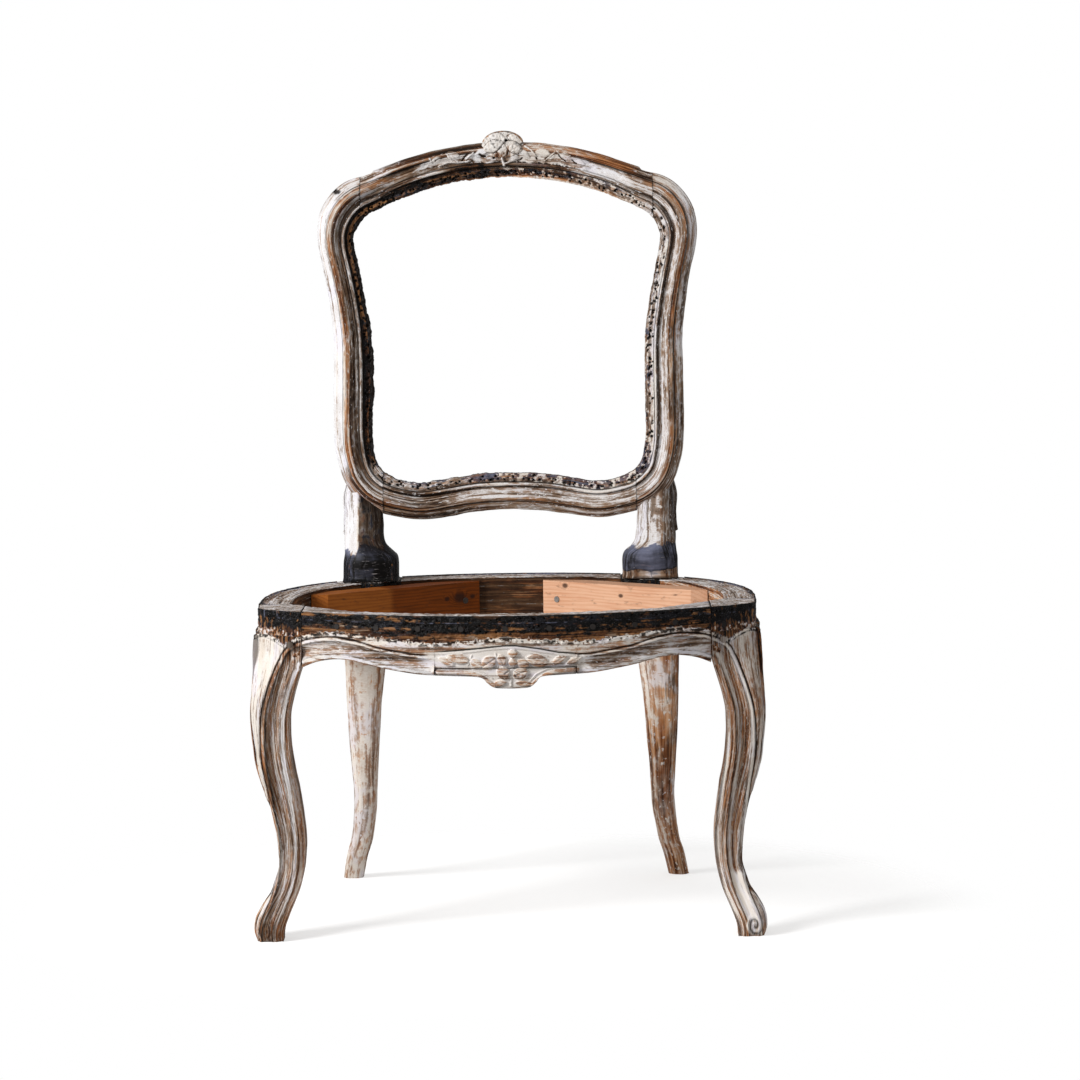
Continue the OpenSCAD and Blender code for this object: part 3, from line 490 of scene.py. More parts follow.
def cut_seams(points, faces, grain, zones, cuts):
    """Closed shell cut off square at seams: each cut is (x, keep the outer side, z low, z high)."""
    near_seam, dark_seam = 0.012, 0.0008
    bm = bmesh.new()
    g = bm.verts.layers.float_vector.new("grain")
    c = bm.verts.layers.float_color.new("zones")
    verts = [bm.verts.new(p) for p in points.tolist()]
    for v, a, b in zip(verts, grain.tolist(), zones.tolist()):
        v[g] = a
        v[c] = b
    for f in faces:
        bm.faces.new([verts[i] for i in f])
    for x, outer_side, z0, z1 in cuts:
        toward = 1 if x > 0 else -1
        low, high = (-9, near_seam) if outer_side else (-near_seam, 9)
        part = []
        for f in bm.faces:
            place = f.verts[0].co
            if z0 <= place.z <= z1 and low < (place.x - x) * toward < high:
                part.append(f)
        geom = part + list({e for f in part for e in f.edges}) + list({v for f in part for v in f.verts})
        away = toward if outer_side else -toward
        cut = bmesh.ops.bisect_plane(bm, geom=geom, dist=1e-7, plane_co=(x, 0, 0), plane_no=(away, 0, 0),
                                     clear_inner=True)
        rim = [e for e in cut["geom_cut"] if isinstance(e, bmesh.types.BMEdge) and len(e.link_faces) == 1]
        if rim:
            bmesh.ops.holes_fill(bm, edges=rim, sides=0)
    for v in bm.verts:
        gap = min((abs(v.co.x - x) for x, _, z0, z1 in cuts if z0 <= v.co.z <= z1), default=1)
        if gap < dark_seam:
            colour = v[c]
            colour[3] = min(1.0, colour[3] + 0.5 * (1 - gap / dark_seam))
            v[c] = colour
    bm.verts.index_update()
    bm.faces.index_update()
    points, grain, zones = (np.array([value(v)[:] for v in bm.verts])
                            for value in (lambda v: v.co, lambda v: v[g], lambda v: v[c]))
    faces = [[v.index for v in f.verts] for f in bm.faces]
    bm.free()
    return points, faces, grain, zones


def join(*parts):
    """Several closed shells kept as one mesh."""
    points, faces, grain, zones, start = [], [], [], [], 0
    for p, f, g, z in parts:
        points.append(p)
        grain.append(g)
        zones.append(z)
        faces += [[i + start for i in face] for face in f]
        start += len(p)
    return np.concatenate(points), faces, np.concatenate(grain), np.concatenate(zones)


def mirrored(part):
    p, f, g, z = part
    return p * [-1, 1, 1], [face[::-1] for face in f], g, z


# Rear legs

# Height, inner and outer edge from the leg's middle, front and back from the stile's face, squareness
REAR_LEG = [
    [0, 9, 34, 82, 108, 2.6], [28, 3, 29, 64, 91, 2.6], [51, -3.5, 22.5, 50, 77, 2.6],
    [81, -9, 18.5, 35, 63, 2.6], [110, -11.5, 17, 23, 53, 2.6], [150, -14, 19, 11, 46, 2.6],
    [212, -19, 22, 1, 42, 2.8], [258, -24, 23, -6, 40, 3], [290, -27, 24, -9, 40, 3.4],
    [320, -27, 23, -8, 37, 4], [355, -26, 23, -8, 34, 5], [360.4, -41.5, 23, -11, 34, 9],
    [364, -41.7, 23.2, -11, 34, 9], [381, -41.5, 23, -11, 34, 9], [388, -40, 22, -9.8, 34, 8],
    [391.5, -37, 21.5, -8, 34, 7], [398, -30, 21.8, -3, 35, 4.5], [408, -25.4, 22.3, 4, 37, 3.6]]


def superellipse(x0, x1, y0, y1, e, count):
    a = np.arange(count) * 2 * np.pi / count
    c, s = np.cos(a), np.sin(a)
    return np.stack([(x0 + x1) / 2 + (x1 - x0) / 2 * np.sign(c) * np.abs(c) ** (2 / e),
                     (y0 + y1) / 2 + (y1 - y0) / 2 * np.sign(s) * np.abs(s) ** (2 / e)], 1)


def rear_leg_shell(side):
    stations = [list(s) for s in REAR_LEG]
    for z, x0, x1, y0, y1 in ((432, -24, 21.5, 2, 28), (454, -21, 22.5, 5, 26), (474, -10, 18, 9, 22)):
        lean = (back_y(REAR_LEG_X, z * MM) - STILE_FRONT_Y) * 1000
        stations.append([z, x0, x1, lean + y0, lean + y1, 4])
    stations = np.array(stations)
    t = np.interp(np.arange(0, 474, 1.3), stations[:, 0], np.arange(len(stations)))
    n = 120
    shell = []
    for z, x0, x1, y0, y1, e in spline(stations, t):
        xy = superellipse(x0, x1, y0, y1, max(2.2, e), n)
        # Above the seat the front is two faces that meet in an arris nearer the outer side
        away = xy[:, 0] - (x0 + (x1 - x0) * 0.62)
        slope = np.where(away < 0, -away * 0.20, away * 0.62) * smooth(360, 364, z)
        front = np.clip((y1 - xy[:, 1]) / (y1 - y0), 0, 1)
        xy[:, 1] += slope * smooth(0.25, 0.75, front)
        xy *= MM
        shell.append(np.column_stack([xy[:, 0] + REAR_LEG_X, xy[:, 1] + STILE_FRONT_Y, np.full(n, z * MM)]))
    shell = np.array(shell)
    run = travel(shell.mean(1))[:, None]
    width = np.arange(n) / n * 0.12 + 0 * run
    x, z = shell[..., 0], shell[..., 2]
    # Below the seat the old surface is smoother, with blotches in place of streaks
    blotchy = z < 0.3605
    spot = np.stack([run * mix(1.0, 0.75, blotchy), width * mix(1.0, 0.34, blotchy), 0 * z + 4.0 + side], -1)
    outer_face = smooth(-0.001, 0.002, x - REAR_LEG_X - 0.0045)
    waves = swing(shell * [side, 1, 1] + [side, 0, 0], (70, 70, 22), 3)
    fibre = noise(spot, (40, 900, 1), 6) - 0.5
    facet = smooth(0.362, 0.38, z)
    shell = along_normals(shell, 0.0006 + waves * mix(0.0016, 0.0028, facet) + 0.0003 * fibre)
    shell[..., 2] = np.maximum(shell[..., 2], 0)
    big = swing(spot, (14, 44, 1), 9)
    ragged = swing(shell, (120, 120, 120), 15)
    block = smooth(0.356, 0.364, z) * (1 - smooth(0.388, 0.404, z + 0.014 * ragged))
    neck = smooth(0.385, 0.402, z)
    leg = 1 - smooth(0.352, 0.36, z)
    front = smooth(0.030, 0.018, shell[..., 1] - shell[..., 1].min(1, keepdims=True))
    tar = 0.05 + block * 1.15
    dark = 0.02 + neck * (1 - front) * 0.2 + 0.6 * hump(z, 0.3605, 0.0012)
    dark = dark + 0.25 * leg * smooth(0.30, 0.36, z)
    # Painted light and shade on the neck and leg: the neck face turned to the window on the left gets paint,
    # the face turned away gets tar and dark, and the left leg gets more paint than the right partly as
    # painted light
    if side > 0:
        foot = smooth(0.3725, 0.3690, z + 0.012 * ragged) * front
        tar = tar * (1 - 0.9 * foot) + neck * outer_face * 0.22
        neck_paint_and_light = mix(0.60, 0.34, outer_face)
        leg_paint_and_light = 0.33 + 0.16 * smooth(0.02, -0.01, x - REAR_LEG_X)
        wood = leg * (0.30 + 0.35 * smooth(0.14, 0.30, z)) + foot * 0.6
        block_paint = 0.34 * (1 - foot)
        dark = dark + neck * (1 - outer_face) * 0.03 + neck * outer_face * 0.30
    else:
        tar = tar * (1 - 0.45 * outer_face * smooth(0.372, 0.392, z)) + neck * (1 - outer_face) * 0.34
        neck_paint_and_light = mix(0.02, 0.80, outer_face)
        leg_paint_and_light = 0.64 - 0.10 * smooth(0.0, -0.02, x - REAR_LEG_X)
        wood = leg * 0.85 + 0.15
        block_paint = 0.06
        dark = dark + neck * (1 - outer_face) * 0.52
    paint = leg * leg_paint_and_light + neck * neck_paint_and_light + block * block_paint + 0.7 * big
    arris = hump(x, REAR_LEG_X + 0.0045, 0.002) * neck
    zones = np.stack([tar, paint, wood + 0.7 * big * (1 - block) - 0.3 * block + arris, dark], -1)
    return closed_shell(shell, spot, zones)


def seat_post(outline, z0, z1, seed, side=0):
    """Block of a leg between the seat rails, drawn from its plan. side is -1 or 1 for a front leg."""
    closed = np.array(outline + outline[:1])
    run = travel(closed)
    n = int(run[-1] / 0.0010)
    w = np.linspace(0, run[-1], n, endpoint=False)
    ring = np.stack([np.interp(w, run, closed[:, 0]), np.interp(w, run, closed[:, 1])], 1)
    middle = ring.mean(0)
    bevel = z1 - 0.0016
    rows = np.concatenate([np.linspace(z0, bevel, int((z1 - z0) / 0.0009)), [z1 - 0.0008, z1 - 0.0002]])
    inset = np.where(rows > bevel, (rows - bevel) / 0.0014, 0) * 0.0010
    shell = [np.column_stack([mix(ring, middle, k / 0.02), np.full(n, z)]) for z, k in zip(rows, inset)]
    for share in np.linspace(0.95, 0.08, 22):
        shell.append(np.column_stack([middle + (ring - middle) * share, np.full(n, z1)]))
    shell = np.array(shell)
    z = shell[..., 2].copy()
    top = (np.arange(len(shell)) >= len(rows) - 1)[:, None] + 0 * z
    a = rough_noise(shell, (160, 160, 160), seed)
    b = rough_noise(shell, (420, 420, 420), seed + 3)
    ww = w[None] + 0 * z
    count = int(run[-1] / 0.0045)
    along = rng.random(count) * run[-1]
    up = rng.choice([0.3475, 0.3545], count) + rng.normal(0, 0.0009, count)
    holes = np.stack([along, up], 1)
    pits = holes_mask(ww, z, holes, rng.uniform(0.0007, 0.0012, count)) * (1 - top)
    spots = rng.uniform(-0.9, 0.9, (26, 2)) * np.ptp(ring, axis=0) / 2 + middle
    top_pits = holes_mask(shell[..., 0], shell[..., 1], spots, rng.uniform(0.0007, 0.0016, 26)) * top
    to_middle = middle - shell[..., :2]
    to_middle /= np.maximum(np.linalg.norm(to_middle, axis=-1, keepdims=True), 1e-6)
    # Folded ribs of old tar run over the left corner's upper edge
    ribs = np.zeros_like(z)
    if side < 0:
        ribs = 0.5 + 0.5 * np.cos((ww - 0.0402) * 2 * np.pi / 0.0060)
        ribs = ribs * smooth(0.0265, 0.0300, ww) * smooth(0.0585, 0.055, ww)
        ribs = ribs * smooth(0.3518, 0.3532, z) * (1 - top)
    upper = smooth(0.3510, 0.3522, z)
    eaten_in = 0.0022 * pits + 0.0026 * (b - 0.42) + 0.0016 * (a - 0.5) - 0.0011 * ribs
    shell[..., :2] += to_middle * ((1 - top) * eaten_in)[..., None]
    shell[..., 2] -= top * (a * 0.0014 + (b - 0.4) * 0.0012 + 0.0026 * top_pits)
    spot = np.stack([mix(z, shell[..., 0], top), mix(ww, shell[..., 1], top), 0 * z + 6.0 + seed], -1)
    corner = smooth(0.238, 0.262, shell[..., 0])
    low = smooth(0.347, 0.334, z) * (side != 0)
    crumbs = smooth(0.52, 0.60, b) * smooth(0.345, 0.336, z + 0.008 * (a - 0.5)) * (side != 0)
    eaten = low * mix(0.35, 0.95 if side < 0 else 0.55, corner)
    tar = (1 - top) * (1.0 - eaten * (1 - upper) + 1.1 * (a - 0.5)) + top * (0.10 + 0.8 * (a - 0.5))
    below = smooth(0.3335, 0.3310, z + 0.003 * (b - 0.5)) * (side == 0)
    tar = tar * (1 - below)
    edge_dark = smooth(0.004, 0.0, np.linalg.norm(shell[..., :2] - ring, axis=-1)) * top
    face_paint = 0.30 * low * corner + 0.5 * crumbs + 0.34 * ribs * smooth(0.35, 0.6, a)
    paint = top * (0.53 + 0.6 * (a - 0.5)) + (1 - top) * face_paint + 0.5 * below
    paint = paint + 0.5 * hump(z, 0.3515, 0.0006) * smooth(0.42, 0.55, b) * (1 - top)
    face_wood = (0.25 + 0.65 * low + 0.9 * (a - 0.5)) * (1 - 0.8 * upper)
    wood = top * (0.35 + 0.7 * (a - 0.5)) + (1 - top) * face_wood
    tar = tar + 0.25 * edge_dark + 0.2 * ribs - 0.5 * crumbs
    dark = 0.04 + pits + top_pits + 0.35 * (b > 0.62) * top + 0.5 * low * (b < 0.40)
    return closed_shell(shell, spot, np.stack([tar, paint, wood, dark], -1))


def rear_leg(side):
    cuts = [(CREST_SEAM_X, True, 0.748, 1.0), (LOW_SEAM_X, True, 0.0, 0.60)]
    stile = back_member(3.0, 15.0, 2.0 + side, cuts, side)
    plan = [(REAR_SEAM_X, 0.0972), (0.1494, POST_FRONT_Y), (POST_OUT_X, POST_FRONT_Y)]
    plan += [(x, rim_y(x, BAND_T)) for x in np.linspace(POST_OUT_X, REAR_SEAM_X, 12)]
    return join(stile, rear_leg_shell(side), seat_post(plan, 0.304, SEAT_H, 3))


# Front rail and front legs share one moulding, which runs up each leg and along the rail

RAIL_FOOT = np.array([
    [219, 300], [203, 307], [183, 311], [163, 310], [138, 304.5], [113, 300.5], [94, 298], [76, 297]]) * MM
BAND_FOOT = np.array([
    [276, 325], [262, 329], [240, 327], [220, 334], [193, 340], [164, 339], [123, 335], [83, 332], [39, 334],
    [0, 337]]) * MM
PENDANT_FOOT = np.array([[76, 297], [58, 296.5], [32, 295], [24, 289], [16, 284], [0, 283]]) * MM


def under_edge(x):
    """Underside of the front rail with its glued strip, at distance x from the middle."""
    foot = np.concatenate([RAIL_FOOT, PENDANT_FOOT[1:]])
    p = spline(foot, np.linspace(0, len(foot) - 1, 600))
    aside = 0.0065 * smooth(0.070, 0.030, np.abs(x))
    return np.interp(np.abs(x - aside) - 0.002 * smooth(0.045, 0.025, np.abs(x)), p[::-1, 0], p[::-1, 1])


def band_edge(x):
    p = spline(BAND_FOOT, np.linspace(0, len(BAND_FOOT) - 1, 400))
    return np.interp(np.abs(x), p[::-1, 0], p[::-1, 1])


# Height, outer and inner edge from the corner, and the flare towards the rails
FRONT_LEG = np.array([
    [0, 4, -25, 0], [12, 6.5, -26, 0], [25, 5, -30.5, 0], [38, -2, -36, 0], [50, -10, -41, 0],
    [62, -14.5, -44.5, 0], [77, -18.5, -47.5, 0], [102, -17.5, -49.5, 0], [126, -14, -48, 0],
    [165, -5, -43, 0], [190, 1.5, -38.5, 0], [210, 4, -36, 0], [230, 6, -35.5, 1], [248, 7, -36.5, 2],
    [268, 6, -41, 5], [285, 5, -46, 9], [300, 5, -50.5, 13], [332, 3.5, -51.5, 16], [346, 0.3, -51.9, 17],
    [360, 0, -52, 17]])

# Height, flank beside the inner edge, and distance from the inner edge to the outer ridge
LEG_LINES = np.array([
    [0, 8, 26], [14, 8, 26], [30, 7, 25], [50, 7.5, 27], [77, 8.5, 30.5], [110, 9, 32.5], [145, 8.5, 33],
    [190, 6.5, 31.5], [230, 5, 29.5], [268, 4, 27], [300, 3.2, 25]])


def moulding_path():
    """Inner edge of a front leg and the rail's underside as points with flank and ridge distances."""
    z = np.arange(0, 296, 2.0)
    s = spline(FRONT_LEG, np.interp(z, FRONT_LEG[:, 0], np.arange(len(FRONT_LEG))))
    flank, ridge = (np.interp(s[:, 0], LEG_LINES[:, 0], LEG_LINES[:, k]) * MM for k in (1, 2))
    leg = np.column_stack([LEG_CORNER_X + s[:, 2] * MM, s[:, 0] * MM, flank, ridge])
    foot = spline(RAIL_FOOT, np.linspace(0, len(RAIL_FOOT) - 1, 120))
    turn = np.linspace(0, 1, len(foot))
    flank = mix(3.2, 1.4, smooth(0, 0.35, turn)) * MM
    ridge = mix(25.0, 19.5, smooth(0, 0.6, turn)) * MM
    return np.concatenate([leg, np.column_stack([foot, flank, ridge])])


PATH = moulding_path()


def carve(x, z):
    """Depth of the shared moulding and its place across: 0 at the flank, 1 at the outer ridge."""
    ax, az = np.abs(x).ravel(), z.ravel()
    place = np.empty(ax.shape)
    batch = 20000
    for i in range(0, len(ax), batch):
        few = slice(i, i + batch)
        d = np.hypot(ax[few, None] - PATH[:, 0], az[few, None] - PATH[:, 1])
        k = d.argmin(1)
        flank, ridge = PATH[k, 2], PATH[k, 3]
        place[few] = (d[np.arange(len(k)), k] - flank) / (ridge - flank)
    place = place.reshape(x.shape)
    hollow = np.clip((place - 0.17) / 0.69, 0, 1)
    body = smooth(0.012, 0.036, z)
    depth = 5.6 * np.sin(np.pi * hollow) ** 0.7 * mix(0.35, 1.0, body)
    depth = depth + 4.5 * smooth(-0.02, -0.62, place) * smooth(0.30, 0.22, z)
    depth = depth + 1.2 * smooth(0.0, -0.25, place)
    depth = depth + 0.5 * hump(place, 0.045, 0.03)
    depth = depth + 2.1 * hump(place, 1.06, 0.045) + 1.3 * smooth(1.05, 1.12, place)
    return depth * MM, place


def toe_scroll(x, z):
    """Rounded curl on the front of a toe: its height in metres and its darkness, which is painted shade in
    the coil's grooves.
    """
    aside, up = np.abs(x) - 0.2640, z - 0.0125
    d = np.hypot(aside, up * 0.85)
    turn = np.arctan2(up, aside)
    inside = 1 - smooth(0.0085, 0.0108, d)
    coil = np.cos(d * 1000 * 1.05 - turn + 0.8 * np.sin(2 * turn + 1.0))
    return inside * (0.0016 + 0.0007 * coil), inside * smooth(0.1, -0.8, coil)


# Top of the painted flank beside a front leg's moulding: distance from the middle, and height
LEG_TOP = np.array([
    [0.219, 0.334], [0.232, 0.3275], [0.239, 0.3235], [0.249, 0.33], [0.262, 0.3345], [0.277, 0.3325]])


def front_zones(x, z, place, spot, side=0):
    """Finishes on the front face of the rail, or of a leg where side is -1 or 1."""
    a = swing(spot, (20, 64, 1), 14)
    b = rough_noise(spot, (300, 420, 1), 19)
    c = swing(spot, (48, 170, 1), 23)
    leg = float(side != 0)
    left = smooth(-0.05, 0.05, -x) if side == 0 else float(side < 0)
    edge = band_edge(x) if side == 0 else np.interp(np.abs(x), *LEG_TOP.T)
    band = smooth(edge - 0.0004, edge + 0.0006, z + (b - 0.5) * 0.007)
    fringe = hump(z, edge - 0.0015, 0.0030)
    hollow = smooth(0.14, 0.24, place) * (1 - smooth(0.82, 0.90, place))
    outer_ridge = hump(place, 0.95, 0.075)
    inner_ridge = hump(place, 0.08, 0.10)
    flank = smooth(1.08, 1.14, place)
    inner = smooth(-0.03, -0.16, place)
    streak = hump(place, mix(0.33, 0.50, left), 0.07) * leg
    lower_half = smooth(edge + 0.013, edge + 0.002, z)
    worn_band = mix(0.34, 0.10, smooth(0.04, 0.16, x)) * lower_half
    tar = band * (1.06 + 1.1 * a + 1.4 * c - worn_band - 0.25 * smooth(0.356, 0.360, z))
    # Left and right legs differ partly as painted light: each gets more paint on the parts that face the
    # window on the left
    leg_paint_and_light = (mix(0.34, 0.26, left) * hollow + mix(0.44, 0.34, left) * streak
                 + mix(1.25, 0.30, left) * outer_ridge + mix(0.40, 0.84, left) * inner_ridge
                 + mix(0.52, 0.86, left) * flank + mix(0.74, 0.40, left) * inner)
    rail_paint = 0.46 * hollow + 0.86 * outer_ridge + 0.92 * inner_ridge + 0.52 * flank + 0.45 * inner
    paint = mix(rail_paint, leg_paint_and_light, leg) + 0.8 * a + 0.35 * c + 0.8 * fringe * smooth(0.44, 0.56, b)
    paint = paint * (1 - band) + band * (0.02 + 0.55 * hump(z, 0.3519, 0.0007) * smooth(0.45, 0.6, b))
    wood = 0.46 + 0.45 * inner + 0.35 * flank + 0.35 * outer_ridge
    wood = wood + leg * (0.5 * inner_ridge * (1 - left) + mix(0.34, 0.15, left) * hollow)
    wood = wood + c + 0.5 * a
    wood = wood * (1 - band) + band * (0.28 + 0.55 * lower_half + 1.2 * c + 0.6 * a)
    # Painted shade, with dirt, along the moulding's grooves and in its hollow
    dark = 0.75 * hump(place, 1.06, 0.04) + 0.40 * hump(place, 0.85, 0.05)
    dark = dark + 0.35 * hump(place, 0.19, 0.04) + hollow * (0.12 * (c > 0.02) + 0.10 * leg)
    dark = dark + 0.10 * inner + 0.9 * fringe * smooth(0.48, 0.38, b) * (1 - band)
    if side:
        rim = hump(z, edge - 0.0042, 0.0009) * flank
        dark = dark + 0.6 * rim
        wood = wood + 0.6 * fringe * flank
    return [tar, paint, wood, dark * (1 - band)]


def rail_section(width, z0, z1, rows):
    """Places round a rail's section as (in from the face, height, side), sides being 0 to 3."""
    r = 0.0016
    q = np.linspace(0, np.pi / 2, 5)
    below = [(d, z0, 0) for d in np.linspace(width - r, r, 9)]
    corner_a = [(r - r * math.sin(a), z0 + r - r * math.cos(a), 1) for a in q[1:-1]]
    face = [(0, z, 1) for z in np.linspace(z0 + r, z1 - r, rows)]
    corner_b = [(r - r * math.cos(a), z1 - r + r * math.sin(a), 1) for a in q[1:-1]]
    top = [(d, z1, 2) for d in np.linspace(r, width - r, 30)]
    corner_c = [(width - r + r * math.sin(a), z1 - r + r * math.cos(a), 2) for a in q[1:-1]]
    inner = [(width, z, 3) for z in np.linspace(z1 - r, z0 + r, 22)]
    return np.array(below + corner_a + face + corner_b + top + corner_c + inner)


def rail_shell(outer, inner, z0s, z1, seed, front=False, rows=66, inside=(0.02, 0.05, 0.45, 0.30)):
    """Seat rail swept through pairs of outer and inner points."""
    width = np.linalg.norm(inner - outer, axis=1)
    u = (inner - outer) / width[:, None]
    sections = np.array([rail_section(w, z0, z1, rows) for w, z0 in zip(width, z0s)])
    d, z, part = sections[..., 0], sections[..., 1], sections[0, :, 2]
    run = travel(outer)
    s = run[:, None] + 0 * d
    lengths = np.hypot(np.diff(d, axis=1), np.diff(z, axis=1))
    girth = np.concatenate([0 * d[:, :1], np.cumsum(lengths, axis=1)], 1)
    girth = girth - girth[:, np.flatnonzero(part == 1)[-1:]] + 0.1
    spot = np.stack([s, girth, np.full_like(s, seed)], -1)
    on_face = (part == 1)[None] & (d < 0.0012)
    on_top = (part == 2)[None]
    a = rough_noise(spot, (24, 90, 1), seed + 2)
    b = rough_noise(spot, (240, 300, 1), seed + 5)
    fibre = noise(spot, (42, 1100, 1), seed + 9) - 0.5
    x = outer[:, :1] + u[:, :1] * d
    if front:
        depth, place = carve(x, z)
        edge = band_edge(x)
    else:
        depth, place = np.zeros_like(d), np.full_like(d, 1.3)
        edge = np.full_like(d, SEAT_H - 0.028)
    band = smooth(edge - 0.0004, edge + 0.0010, z + (b - 0.5) * 0.003)
    lip = 0.0007 * smooth(0.3515, 0.3523, z) * band
    # Tack holes in the band and along the top
    count = int(run[-1] / 0.0046)
    hv = rng.choice([0.3560, 0.3485, 0.343], count, p=[0.5, 0.3, 0.2]) + rng.normal(0, 0.0007, count)
    holes = np.stack([rng.random(count) * run[-1], hv], 1)
    pits = holes_mask(s, z, holes, rng.uniform(0.0007, 0.0013, count)) * on_face
    count = int(run[-1] / 0.0055)
    holes = np.stack([rng.random(count) * run[-1], rng.normal(0.0085, 0.0026, count)], 1)
    top_pits = holes_mask(s, d, holes, rng.uniform(0.0007, 0.0016, count)) * on_top
    crumbs = (b - 0.45) * 0.0030 * band + swing(spot, (120, 200, 1), seed + 17) * 0.0018 * band
    cut = BAND_T * band - lip + depth * (1 - band) + 0.0026 * pits + crumbs
    height = ground = line = np.zeros_like(d)
    if front:
        height, ground, line = apron_relief(x, z)
        ground = ground * (1 - band)
        cut = cut * (1 - ground) + ground * (0.0040 - height * MM) + 0.0016 * line * (1 - band)
    lumps = hump(z, edge - 0.0022, 0.0022) * smooth(0.50, 0.62, b) * (1 - ground)
    if z1 < 0.31:
        cut = cut + 0.0028 * smooth(0.0700, 0.0758, np.abs(x)) ** 2
    cut = cut + (0.0004 * fibre + 0.0016 * (a - 0.5)) * (1 - band) * (1 - ground) - 0.0014 * lumps * front
    corner = (part == 1)[None] & ~on_face
    face_d = np.where(on_face, d + cut, d)
    face_d = np.where(corner & (z > SEAT_H - 0.01), d + BAND_T, face_d)
    face_d = np.where(on_top, BAND_T + d * (1 - BAND_T / width[:, None]), face_d)
    worn_edge = on_top * smooth(0.007, 0.0, d) * (noise(spot, (60, 1, 1), seed + 13) ** 2) * 0.0030
    zz = z - on_top * (0.0004 + 0.0016 * b + 0.0028 * top_pits) - worn_edge
    face_d = face_d - (part == 3) * (0.0010 * b + 0.0006)
    points = np.stack([outer[:, :1] + u[:, :1] * face_d, outer[:, 1:] + u[:, 1:] * face_d, zz], -1)

    zones = np.zeros(d.shape + (4,)) + inside
    face_part = np.stack(front_zones(x, z, place, spot), -1)
    if front:
        tone = smooth(0.1, 0.9, ground)
        worn = smooth(1.3, 2.4, height)
        fine = swing(spot, (420, 420, 1), seed + 3)
        outline = smooth(0.02, 0.25, height) * smooth(1.7, 1.0, height)
        carved_paint = np.maximum(0.92 - 0.44 * worn, 1.2 * outline) + 0.35 * fine
        carved_part = np.stack([0 * d, carved_paint, 0.7 + 0.3 * worn, 0 * d], -1)
        face_part = mix(face_part, carved_part, tone[..., None])
        # Painted shade, with dirt, in the cut line above the carving
        face_part[..., 3] = np.maximum(face_part[..., 3], line * (1 - band))
    face_part[..., 3] = np.maximum(face_part[..., 3], pits)
    zones[:, part == 1] = face_part[:, part == 1]
    rim_dark = smooth(0.012, 0.002, d)
    top_zone = np.stack([0.08 + 0.50 * rim_dark + 1.2 * (a - 0.5), 0.53 + 0.9 * (a - 0.5),
                         0.50 + 0.8 * (b - 0.5), 0.06 + 1.1 * top_pits + 0.45 * (b > 0.60)], -1)
    zones[:, part == 2] = top_zone[:, part == 2]
    return closed_shell(points, spot, zones)


# Plan of the seat's rails as outer and inner points

def rim_points(inset, first_y, last_y):
    """Points along the rear quarter of the seat's rim between two places from front to back."""
    a = np.linspace(0, np.pi / 2, 900)
    x = (HALF_SEAT - inset) * np.cos(a) ** (2 / SQUARENESS)
    y = SIDE_MID_Y + (REAR_REACH - inset) * np.sin(a) ** (2 / SQUARENESS)
    return np.column_stack([x, y])[(y < last_y) & (y > first_y)]


def front_rail_pairs(x):
    ax = np.abs(x)
    share = (ax - HAUNCH_OUT_X) / (FRONT_SEAM_X - HAUNCH_OUT_X)
    inner_x = np.where(ax < HAUNCH_OUT_X, ax * HAUNCH_X / HAUNCH_OUT_X, mix(HAUNCH_X, FRONT_SEAM_X, share))
    haunch_y = bow_y(HAUNCH_X, FRONT_RAIL_T)
    inner_y = np.where(ax < HAUNCH_OUT_X, bow_y(np.minimum(inner_x, HAUNCH_X), FRONT_RAIL_T),
                       mix(haunch_y, POST_INNER_Y, share))
    return np.column_stack([x, bow_y(x)]), np.column_stack([np.sign(x) * inner_x, inner_y])


def side_rail_pairs(count):
    rear_y = rim_y(POST_OUT_X)
    outer = np.vstack([[HALF_SEAT, SIDE_SEAM_Y], rim_points(0, SIDE_MID_Y, rear_y), [POST_OUT_X, rear_y]])
    inner = np.vstack([[HALF_SEAT - SIDE_RAIL_T, SIDE_SEAM_Y],
                       rim_points(SIDE_RAIL_T, SIDE_MID_Y, POST_FRONT_Y), [POST_OUT_X - 0.002, POST_FRONT_Y]])

    def even(points):
        run = travel(points)
        w = np.linspace(0, run[-1], count)
        return np.column_stack([np.interp(w, run, points[:, 0]), np.interp(w, run, points[:, 1])])

    return even(outer), even(inner)


# Carving on the front rail and its glued strip, in millimetres along and above the floor:
# place, half length, half width, angle, height and depth of the veins

APRON_LEAVES = [
    ((-50, 315), 14.5, 6.4, -12, 3.6, 1.3), ((-63, 311.6), 11, 4.2, -25, 2.8, 0.8),
    ((-31, 309.5), 9, 5.6, -30, 3.0, 0.9), ((-17.5, 310.5), 10.6, 7.4, 32, 4.3, 1.4),
    ((-4, 313), 7.4, 5.8, -70, 4.2, 0.8), ((8, 320), 5.6, 5.2, 0, 4.4, 0.0),
    ((7.9, 310.4), 5.6, 5.0, 0, 4.9, 0.5), ((18.4, 309.2), 8.4, 5.4, -12, 4.7, 0.9),
    ((34.3, 311.8), 13.8, 7.4, -14, 4.5, 1.4),
    ((48, 308.8), 8, 2.6, 20, 2.4, 0.4), ((57.5, 312.7), 13, 4.2, 33, 3.5, 0.8),
    ((73, 311.4), 12, 3.8, 28, 3.1, 0.6),
    ((-1.6, 299.0), 9.8, 7.2, -28, 4.6, 1.3), ((15.6, 298.8), 9.8, 7.2, 24, 4.6, 1.3),
    ((-6.2, 288.6), 8.5, 3.4, 8, 3.2, 0.0), ((19, 288), 10.5, 3.2, -4, 3.2, 0.0)]
